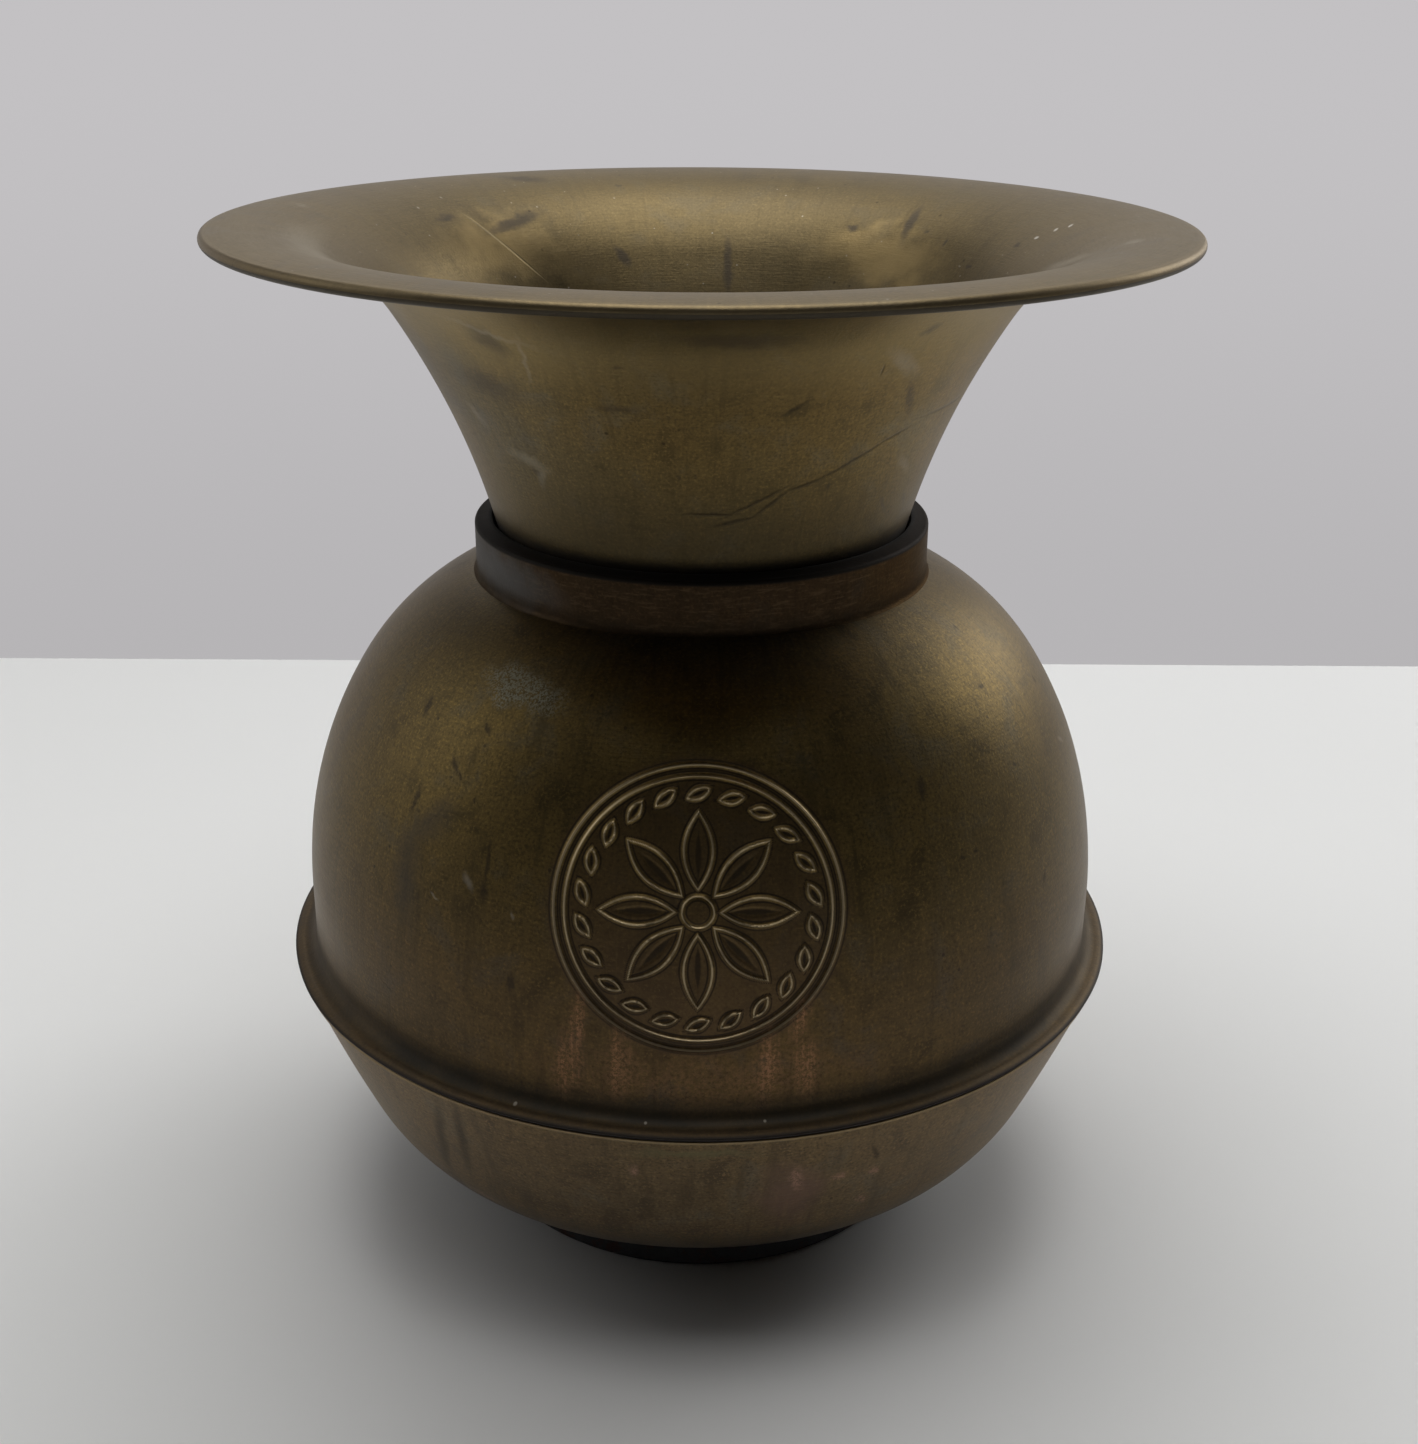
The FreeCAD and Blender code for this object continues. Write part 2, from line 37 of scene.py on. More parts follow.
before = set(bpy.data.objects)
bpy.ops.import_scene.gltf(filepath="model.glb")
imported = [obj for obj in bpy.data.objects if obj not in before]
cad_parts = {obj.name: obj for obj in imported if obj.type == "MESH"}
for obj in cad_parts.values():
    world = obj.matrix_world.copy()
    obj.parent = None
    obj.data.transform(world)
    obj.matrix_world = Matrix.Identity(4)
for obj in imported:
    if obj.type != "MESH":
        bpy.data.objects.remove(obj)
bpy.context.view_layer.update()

MM = 0.001
STEP = 1.6
SAME_PLACE = 0.01
SHARP_ANGLE = 40.0
WALL_COLUMNS = 288
DENT_CELLS = 0.017


def top_of(node):
    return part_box(node)[1].z / MM


def reach_of(node):
    """Largest radius of a CAD node."""
    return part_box(node)[1].x / MM


# ---- sizes

SHEET = 0.8
RIM_RADIUS = reach_of("funnel")
RIM_TOP = top_of("funnel")
SEAM = top_of("lower_bowl")
LEDGE = top_of("upper_body")
FUNNEL_SEAT = top_of("seat_washer")
CROWN = top_of("neck_collar")
COLLAR_RADIUS = reach_of("neck_collar")
FOOT_TOP = top_of("foot_weight")
FOOT_RADIUS = reach_of("foot_weight")
BOWL_LIP = reach_of("lower_bowl")

BELLY_RADIUS = 112.8
BELLY_HEIGHT = 98.0
LEDGE_RADIUS = 59.0
MOUTH_RADIUS = 50.9
DOME_ANGLES = (0.0, 31.5, 71.6)
COVE_RADIUS = 4.5
SKIRT_LIP = 1.8
SKIRT_THICKNESS = 2.2
SKIRT_FALL = 0.6
SKIRT_EDGE = 0.35
SKIRT_GROOVE = 1.1
HEM_RADIUS = 114.5

BOWL_ANGLES = (-19.8, -24.3, -90.0)
BOWL_RADIUS = 117.5
BOWL_RIM_DEPTH = 1.0
BOWL_FLANGE = 111.5
FLOOR_RADIUS = 61.0
BOLT_HOLE = 3.6

COLLAR_BORE = 57.2
COLLAR_CROWN = 0.7
COLLAR_ROUND = 1.0
COLLAR_HOLLOW = 2.2

THROAT_RADIUS = 56.6
THROAT_SLOPE = 14.8
FLARE_ANGLES = (180 - THROAT_SLOPE, 180 - 32.5, 90.0)
SPIGOT_RADIUS = 50.2
SPIGOT_LENGTH = 16.0
BRIM_WIDTH = 8.0
BRIM_TURN = 8.0
CURL_RADIUS = 1.5
WIRE_RADIUS = 0.6

MEDALLION_HEIGHT = 135.0

# ---- outlines


def polar(radius, degrees):
    return radius * np.array([math.cos(math.radians(degrees)), math.sin(math.radians(degrees))])


def arc(centre, radius, first, last, step=STEP, turn_step=12.0):
    """Points round a centre from one direction to another."""
    sweep = abs(last - first)
    count = max(math.ceil(math.radians(sweep) * abs(radius) / step), math.ceil(sweep / turn_step), 1)
    return [tuple(np.add(centre, polar(radius, first + (last - first) * k / count)))
            for k in range(count + 1)]


def line(start, end, step=STEP):
    """Points from start to end, closer together near both ends."""
    length = math.dist(start, end)
    count = max(math.ceil(length / step), 3)
    eased = [0.5 - 0.5 * math.cos(math.pi * k / count) for k in range(count + 1)]
    return [tuple(np.add(start, np.subtract(end, start) * share)) for share in eased]


def two_arcs(start, end, angles, offset=0.0):
    """Points along two arcs that run into each other, at an offset away from their centres."""
    first, joint, last = (polar(1.0, angle) for angle in angles)
    bows = np.linalg.solve(np.column_stack([joint - first, last - joint]), np.subtract(end, start))
    centres = (np.subtract(start, bows[0] * first), np.subtract(end, bows[1] * last))
    return (arc(centres[0], bows[0] + offset, angles[0], angles[1])
            + arc(centres[1], bows[1] + offset, angles[1], angles[2])[1:])


def path(*corners):
    """Points along straight lines from corner to corner."""
    return [point for start, end in zip(corners, corners[1:]) for point in line(start, end)]


def joined(*runs):
    """One closed outline from runs of points, with repeats left out."""
    points = [point for run in runs for point in run]
    kept = [points[0]]
    for point in points[1:]:
        if math.dist(point, kept[-1]) > SAME_PLACE:
            kept.append(point)
    if math.dist(kept[0], kept[-1]) <= SAME_PLACE:
        kept.pop()
    return kept


# ---- meshes


def unevenness(turn, radius, height, size=1.0, seed=0.0):
    """How far a hand-worn wall stands off its true outline, in millimetres."""
    place = Vector((radius * math.sin(turn), -radius * math.cos(turn), height)) * DENT_CELLS
    place.z += seed
    return size * (noise.noise(place) + 0.4 * noise.noise(place * 2.7))


def ring_points(outline, columns, shift):
    """Rows of points round the axis for each outline point, in metres."""
    points = []
    for radius, height in outline:
        for column in range(columns):
            turn = 2 * math.pi * column / columns
            more, up = shift(turn, radius, height) if shift else (0.0, 0.0)
            wide = (radius + more) * MM
            points.append((wide * math.sin(turn), -wide * math.cos(turn), (height + up) * MM))
    return points


def finished(name, points, faces):
    """An object with smooth shading that breaks only at sharp edges."""
    mesh = bpy.data.meshes.new(name)
    mesh.from_pydata(points, [], faces)
    work = bmesh.new()
    work.from_mesh(mesh)
    bmesh.ops.recalc_face_normals(work, faces=work.faces)
    for face in work.faces:
        face.smooth = True
    for edge in work.edges:
        if edge.is_manifold and edge.calc_face_angle() > math.radians(SHARP_ANGLE):
            edge.smooth = False
    work.to_mesh(mesh)
    work.free()
    piece = bpy.data.objects.new(name, mesh)
    bpy.context.scene.collection.objects.link(piece)
    return piece


def ring_faces(rows, columns):
    """Faces between the points of a closed outline's rings, row by row."""
    for row in range(rows):
        here, above = row * columns, (row + 1) % rows * columns
        for column in range(columns):
            beside = (column + 1) % columns
            yield here + column, here + beside, above + beside, above + column


def turned(name, outline, columns=WALL_COLUMNS, shift=None):
    """A surface of revolution from a closed outline."""
    points = ring_points(outline, columns, shift)
    return finished(name, points, list(ring_faces(len(outline), columns)))


# ---- funnel


def funnel_shift(turn, radius, height):
    """A worn rim, lowest at the front right, and slight waves in the flare."""
    out = max(0.0, (radius - THROAT_RADIUS) / (RIM_RADIUS - THROAT_RADIUS))
    droop = -0.25 * out**2 * (1 + math.cos(turn - math.radians(35)))
    wave = -0.12 * out**2 * (1 + math.cos(3 * turn + 1.0))
    dent = unevenness(turn, radius, height, 0.35, 4.0) * min(1.0, out * 3) * (1 - out**4)
    return dent, droop + wave


def brim_arcs():
    """The brim's arc, level where the flare ends and falling outwards, and the edge rolled on to it."""
    start = RIM_RADIUS - BRIM_WIDTH
    bow = CURL_RADIUS + (BRIM_WIDTH - CURL_RADIUS) / math.sin(math.radians(BRIM_TURN))
    middle = (start, RIM_TOP - bow)
    return middle, bow, tuple(np.add(middle, polar(bow - CURL_RADIUS, 90 - BRIM_TURN)))


FLARE_ENDS = (THROAT_RADIUS, CROWN), (RIM_RADIUS - BRIM_WIDTH, RIM_TOP - SHEET)
FLARE = two_arcs(*FLARE_ENDS, FLARE_ANGLES)


def funnel_outline():
    upper = two_arcs(*FLARE_ENDS, FLARE_ANGLES, SHEET)
    slope = math.tan(math.radians(THROAT_SLOPE))
    step_under = (THROAT_RADIUS - (CROWN - FUNNEL_SEAT) * slope, FUNNEL_SEAT)
    step_top = FUNNEL_SEAT + SHEET
    step_over = (upper[0][0] - (upper[0][1] - step_top) * slope, step_top)
    spigot_end = FUNNEL_SEAT - SPIGOT_LENGTH
    middle, bow, curl = brim_arcs()
    return joined(
        path((SPIGOT_RADIUS, spigot_end), (SPIGOT_RADIUS, FUNNEL_SEAT), step_under, FLARE[0]),
        FLARE,
        arc(middle, bow - SHEET, 90, 90 - BRIM_TURN),
        arc(curl, CURL_RADIUS - SHEET, 90 - BRIM_TURN, -180, turn_step=18),
        arc(curl, CURL_RADIUS, -180, 90 - BRIM_TURN, turn_step=15),
        arc(middle, bow, 90 - BRIM_TURN, 90),
        upper[::-1],
        path(upper[0], step_over, (SPIGOT_RADIUS - SHEET, step_top), (SPIGOT_RADIUS - SHEET, spigot_end)),
    )


# ---- collar, bowl and dome


def wall_shift(size, seed):
    """Slight dents of a wall, the same for both its faces."""
    def shift(turn, radius, height):
        return unevenness(turn, radius, height, size, seed), 0.0
    return shift


def collar_outline():
    """The collar's sheet, which runs into the dome in a small hollow."""
    outer_top = CROWN - COLLAR_CROWN
    hollow = COLLAR_HOLLOW
    touch = COLLAR_RADIUS + 0.6 * hollow
    facing = 90 - math.degrees(math.atan(on_dome(touch - 0.5) - on_dome(touch + 0.5)))
    middle = (COLLAR_RADIUS + hollow, on_dome(touch) + hollow * math.sin(math.radians(facing)) - 0.15)
    toe = arc(middle, hollow, facing + 180, 180, step=0.5, turn_step=8)
    foot_inner = (COLLAR_RADIUS - SHEET, on_dome(COLLAR_RADIUS - SHEET))
    corner = (COLLAR_RADIUS - COLLAR_ROUND, outer_top - COLLAR_ROUND)
    inner = COLLAR_BORE + SHEET
    lip = 0.4
    return joined(
        toe,
        line(toe[-1], (COLLAR_RADIUS, corner[1])),
        arc(corner, COLLAR_ROUND, 0, 84, turn_step=14),
        line((corner[0], outer_top), (COLLAR_BORE + lip, CROWN)),
        arc((COLLAR_BORE + lip, CROWN - lip), lip, 90, 180, turn_step=22),
        path((COLLAR_BORE, CROWN - lip), (COLLAR_BORE, LEDGE), (inner, LEDGE), (inner, CROWN - SHEET),
             (COLLAR_RADIUS - SHEET, outer_top - SHEET), foot_inner, toe[0]),
    )


DOME_ENDS = (BELLY_RADIUS, BELLY_HEIGHT), (LEDGE_RADIUS, LEDGE)
DOME_RUN = two_arcs(*DOME_ENDS, DOME_ANGLES)
DOME_HEIGHTS = np.array([height for _, height in DOME_RUN])
DOME_RADII = np.array([radius for radius, _ in DOME_RUN])
COVE = (BELLY_RADIUS + COVE_RADIUS, SEAM + SKIRT_THICKNESS + COVE_RADIUS)
BOWL_ENDS = (BOWL_RADIUS, SEAM - BOWL_RIM_DEPTH), (FLOOR_RADIUS, FOOT_TOP)
BOWL_RUN = two_arcs(*BOWL_ENDS, BOWL_ANGLES)


def on_dome(radius):
    """Height of the dome's outer face at a radius."""
    return float(np.interp(-radius, -DOME_RADII, DOME_HEIGHTS))


def dome_radius_at(height):
    return np.interp(height, DOME_HEIGHTS, DOME_RADII)


def bowl_outline():
    inner = two_arcs(*BOWL_ENDS, BOWL_ANGLES, -SHEET)
    edge = 0.3
    lip_low = SEAM - BOWL_RIM_DEPTH
    return joined(
        line((BOLT_HOLE, FOOT_TOP), BOWL_RUN[-1]),
        BOWL_RUN[::-1],
        line(BOWL_RUN[0], (BOWL_LIP - edge, lip_low)),
        arc((BOWL_LIP - edge, lip_low + edge), edge, -90, 0, turn_step=30),
        arc((BOWL_LIP - edge, SEAM - edge), edge, 0, 90, turn_step=30),
        path((BOWL_LIP - edge, SEAM), (BOWL_FLANGE, SEAM), (BOWL_FLANGE, lip_low), inner[0]),
        inner,
        line(inner[-1], (BOLT_HOLE, FOOT_TOP + SHEET)),
    )


def dome_outlines():
    """The dome's outer face from the hem's bore up to the mouth, and its inner face back down."""
    skirt_radius = BELLY_RADIUS + COVE_RADIUS + SKIRT_LIP
    groove_radius = skirt_radius - SKIRT_GROOVE
    lip_top = SEAM + SKIRT_THICKNESS - SKIRT_FALL - SKIRT_EDGE
    inner_run = two_arcs(*DOME_ENDS, DOME_ANGLES, -SHEET)
    inner_cove = COVE_RADIUS + SHEET
    hem_angle = 360 - math.degrees(math.acos((HEM_RADIUS - COVE[0]) / inner_cove))
    outer = joined(
        path((HEM_RADIUS, SEAM), (groove_radius, SEAM), (groove_radius, SEAM + SKIRT_GROOVE)),
        arc((skirt_radius - SKIRT_EDGE, lip_top), SKIRT_EDGE, -60, 66, turn_step=22),
        arc(COVE, COVE_RADIUS, 270, 180, turn_step=8),
        line((BELLY_RADIUS, COVE[1]), (BELLY_RADIUS, BELLY_HEIGHT)),
        DOME_RUN,
        path((LEDGE_RADIUS, LEDGE), (MOUTH_RADIUS, LEDGE), (MOUTH_RADIUS, LEDGE - SHEET)),
    )
    inner = joined(
        line((MOUTH_RADIUS, LEDGE - SHEET), (inner_run[-1][0], LEDGE - SHEET)),
        inner_run[::-1],
        line((BELLY_RADIUS - SHEET, BELLY_HEIGHT), (BELLY_RADIUS - SHEET, COVE[1])),
        arc(COVE, inner_cove, 180, hem_angle, turn_step=10),
        line(tuple(np.add(COVE, polar(inner_cove, hem_angle))), (HEM_RADIUS, SEAM)),
    )
    return outer, inner


# ---- medallion

RIDGE_RADII = (34.5, 31.9)
RIDGE_HALF_WIDTH = 0.55
RELIEF = 0.62
SUNK = 0.15
PETALS = 8
PETAL_START = 5.0
PETAL_LENGTH = 19.0
PETAL_WIDTH = 7.5
LEAVES = 22
LEAF_CENTRE = 27.8
LEAF_LENGTH = 6.6
LEAF_WIDTH = 3.0
LEAF_TILT = 24.0
BOSS_RADIUS = 3.6
PATCH_RADIUS = 36.0
PATCH_GAP = 1.2


def lens(along, across, length, width):
    """Distance inside (positive) a pointed leaf shape centred on the origin, roughly in mm."""
    share = np.clip(1 - (2 * along / length) ** 2, 0, None)
    return width / 2 * share - np.abs(across) - np.clip(np.abs(along) - length / 2, 0, None)


def ridge(distance, half_width):
    """A rounded line where the distance is near zero."""
    return np.exp(-((distance / half_width) ** 2) * 1.6)


def raised(distance, soft):
    """A soft step, 0 outside and 1 well inside."""
    share = np.clip(distance / soft * 0.5 + 0.5, 0, 1)
    return share * share * (3 - 2 * share)


def medallion_relief(across, up):
    """Height of the pressed pattern over the dome, in mm, and its wear: grimy 1, worn bright -1."""
    radius = np.hypot(across, up)
    angle = np.arctan2(across, up)
    inside_rings = raised(RIDGE_RADII[1] - 1.0 - radius, 0.8)
    relief = -SUNK * inside_rings
    lines = [radius - place for place in RIDGE_RADII]

    sector = 2 * math.pi / PETALS
    local = (angle + sector / 2) % sector - sector / 2
    along = radius * np.cos(local) - PETAL_START - PETAL_LENGTH / 2
    petal = lens(along, radius * np.sin(local), PETAL_LENGTH, PETAL_WIDTH)
    vein = lens(along + 1.0, radius * np.sin(local), PETAL_LENGTH * 0.62, PETAL_WIDTH * 0.26)
    relief = np.maximum(relief, 0.3 * raised(petal, 0.7) - SUNK)
    lines.append(petal - 0.35)

    sector = 2 * math.pi / LEAVES
    local = (angle + sector / 2) % sector - sector / 2
    away = radius * np.cos(local) - LEAF_CENTRE
    beside = radius * np.sin(local)
    tilt = math.radians(90 - LEAF_TILT)
    leaf = lens(away * math.cos(tilt) + beside * math.sin(tilt),
                beside * math.cos(tilt) - away * math.sin(tilt), LEAF_LENGTH, LEAF_WIDTH)
    relief = np.maximum(relief, 0.2 * raised(leaf, 0.5) - SUNK)
    lines.append(leaf - 0.3)
    lines.append(radius - BOSS_RADIUS - 0.2)

    grime = 0.35 * inside_rings
    crest = np.zeros_like(radius)
    for distance in lines:
        crest = np.maximum(crest, ridge(distance, RIDGE_HALF_WIDTH))
        grime = np.maximum(grime, 0.95 * ridge(np.abs(distance) - 1.0, 0.5))
    relief = np.maximum(relief, RELIEF * crest)
    relief -= 0.25 * raised(vein, 0.6)
    grime = np.maximum(grime, 0.8 * raised(vein, 0.6))
    relief = np.maximum(relief, 0.5 * raised(BOSS_RADIUS - radius, 1.1))
    return relief, grime * (1 - crest) - crest * (radius < RIDGE_RADII[0] + 1)


def medallion_axes():
    """Middle of the medallion on the dome, and its right, up and outward directions."""
    low, here, high = (float(dome_radius_at(MEDALLION_HEIGHT + rise)) for rise in (-1, 0, 1))
    up = Vector((0, low - high, 2)).normalized()
    middle = Vector((0, -here, MEDALLION_HEIGHT))
    right = Vector((1, 0, 0))
    return middle, right, up, right.cross(up)


def drop_on_dome(across, up_by):
    """Points of the dome, in mm, that lie straight behind places on the medallion's face."""
    middle, right, up, out = (np.array(v) for v in medallion_axes())
    base = middle + np.outer(across, right) + np.outer(up_by, up)
    low = np.full(len(base), -40.0)
    high = np.full(len(base), 5.0)
    for _ in range(40):
        probe = (low + high) / 2
        at = base + probe[:, None] * out
        outside = np.hypot(at[:, 0], at[:, 1]) > dome_radius_at(at[:, 2])
        high = np.where(outside, probe, high)
        low = np.where(outside, low, probe)
    return base + low[:, None] * out


def dome_body(name, columns=WALL_COLUMNS, rings=104, spokes=384):
    """The dome with a round patch of fine mesh, for the medallion, sewn into its front."""
    outer, inner = dome_outlines()
    shift = wall_shift(0.28, 0.0)
    outline = outer + inner[1:-1]
    points = [Vector(point) / MM for point in ring_points(outline, columns, shift)]
    middle, right, up, out = medallion_axes()

    def on_face(point):
        offset = point - middle
        return offset.dot(right), offset.dot(up)

    inside = [point.y < -40 and math.hypot(*on_face(point)) < PATCH_RADIUS + PATCH_GAP
              for point in points]
    last_outer = len(outer) - 2
    faces, border = [], set()
    for face in ring_faces(len(outline), columns):
        if face[0] // columns <= last_outer and any(inside[k] for k in face):
            border.update((face[(k + 1) % 4], face[k]) for k in range(4))
        else:
            faces.append(face)
    # edges that only one removed face has run round the hole
    edges = {a: b for (b, a) in border if (a, b) not in border}
    hole = [min(edges)]
    while edges[hole[-1]] != hole[0]:
        hole.append(edges[hole[-1]])

    radii = np.linspace(0, PATCH_RADIUS, rings + 1)[1:]
    turns = np.linspace(0, 2 * math.pi, spokes, endpoint=False)
    across = np.concatenate([[0.0], np.outer(radii, np.sin(turns)).ravel()])
    up_by = np.concatenate([[0.0], np.outer(radii, np.cos(turns)).ravel()])
    face_points = drop_on_dome(across, up_by)
    outward = np.array([list(Vector((p[0], p[1], 0)).normalized()) for p in face_points])
    relief, worn = medallion_relief(across, up_by)
    base = len(points)
    for point, direction, height in zip(face_points, outward, relief):
        turn = math.atan2(point[0], -point[1])
        radius = math.hypot(point[0], point[1])
        swell = shift(turn, radius, point[2])[0]
        points.append(Vector(point) + Vector(direction) * swell + out * float(height))
    for spoke in range(spokes):
        faces.append((base, base + 1 + spoke, base + 1 + (spoke + 1) % spokes))
    for ring in range(rings - 1):
        for spoke in range(spokes):
            here, there = base + 1 + ring * spokes, base + 1 + (ring + 1) * spokes
            beside = (spoke + 1) % spokes
            faces.append((here + spoke, there + spoke, there + beside, here + beside))
    rim = [base + 1 + (rings - 1) * spokes + spoke for spoke in range(spokes)]

    faces += sewn(rim, hole, [on_face(points[k]) for k in rim], [on_face(points[k]) for k in hole])
    used = sorted({k for face in faces for k in face})
    renumbered = {k: n for n, k in enumerate(used)}
    faces = [tuple(renumbered[k] for k in face) for face in faces]
    piece = finished(name, [points[k] * MM for k in used], faces)
    wear = piece.data.attributes.new("wear", "FLOAT", "POINT")
    for n, k in enumerate(used):
        wear.data[n].value = float(worn[k - base]) if k >= base else 0.0
    return piece


def sewn(inner, outer, inner_at, outer_at):
    """Triangles between two closed loops round the same middle, whatever their counts."""
    def from_top(loop, places):
        angles = [math.atan2(*place) for place in places]
        if sum(math.sin(angles[k] - angles[k - 1]) for k in range(len(angles))) < 0:
            loop, angles = loop[::-1], angles[::-1]
        start = min(range(len(angles)), key=lambda k: abs(angles[k]))
        loop, angles = loop[start:] + loop[:start], angles[start:] + angles[:start]
        unwound = list(np.unwrap(angles))
        return loop + loop[:1], unwound + [unwound[0] + 2 * math.pi]

    near, near_angles = from_top(inner, inner_at)
    far, far_angles = from_top(outer, outer_at)
    triangles, a, b = [], 0, 0
    while a < len(near) - 1 or b < len(far) - 1:
        step_near = b == len(far) - 1 or (
            a < len(near) - 1 and near_angles[a + 1] <= far_angles[b + 1])
        if step_near:
            triangles.append((near[a], near[a + 1], far[b]))
            a += 1
        else:
            triangles.append((near[a], far[b + 1], far[b]))
            b += 1
    return triangles


# ---- foot


def foot_shift(turn, radius, height):
    """The rough skin of a casting, with rust lumps, flat where it rests."""
    if height < 0.6 or height > FOOT_TOP - 0.2 or radius < 40:
        return 0.0, 0.0
    place = Vector((radius * math.sin(turn), -radius * math.cos(turn), height))
    rough = noise.noise(place * 0.45) + 0.6 * noise.noise(place * 1.1)
    return 0.3 * rough - 0.3, 0.0


def foot_outline():
    bevel = 1.2
    boss_radius, boss_low = 16.0, 9.0
    top_radius = FLOOR_RADIUS + 2.0
    rim_bore = FOOT_RADIUS - 9.0
    plate = FOOT_TOP - 7.0
    return joined(
        path((BOLT_HOLE, boss_low), (boss_radius, boss_low), (boss_radius, plate), (rim_bore, plate),
             (rim_bore, 0.0), (FOOT_RADIUS - bevel, 0.0)),
        line((FOOT_RADIUS - bevel, 0.0), (FOOT_RADIUS, bevel), 0.5),
        line((FOOT_RADIUS, bevel), (top_radius, FOOT_TOP), 0.8),
        path((top_radius, FOOT_TOP), (BOLT_HOLE, FOOT_TOP), (BOLT_HOLE, boss_low)),
    )


# ---- shader helpers


MARK_DEPTH = 0.0014


class Nodes:
    """Short names for the nodes of one tree."""

    def __init__(self, tree):
        self.tree = tree
        tree.nodes.clear()

    def node(self, kind, **settings):
        made = self.tree.nodes.new(kind)
        for key, value in settings.items():
            setattr(made, key, value)
        return made

    def put(self, value, socket):
        if isinstance(value, bpy.types.NodeSocket):
            self.tree.links.new(value, socket)
        else:
            socket.default_value = value

    def math(self, operation, a, b=0.0, c=0.0):
        made = self.node("ShaderNodeMath", operation=operation)
        for value, socket in zip((a, b, c), made.inputs):
            self.put(value, socket)
        return made.outputs[0]

    def add(self, a, b):
        return self.math("ADD", a, b)

    def times(self, a, b):
        return self.math("MULTIPLY", a, b)

    def minus(self, a, b):
        return self.math("SUBTRACT", a, b)

    def ramp(self, value, first, full, before=0.0, after=1.0):
        """A smooth change of before into after while value goes, up or down, from first to full."""
        if full < first:
            first, full, before, after = full, first, after, before
        made = self.node("ShaderNodeMapRange", interpolation_type="SMOOTHSTEP", clamp=True)
        self.put(value, made.inputs["Value"])
        limits = (("From Min", first), ("From Max", full), ("To Min", before), ("To Max", after))
        for name, limit in limits:
            made.inputs[name].default_value = limit
        return made.outputs[0]

    def split(self, vector):
        """A vector's x, y and z."""
        made = self.node("ShaderNodeSeparateXYZ")
        self.put(vector, made.inputs[0])
        return made.outputs


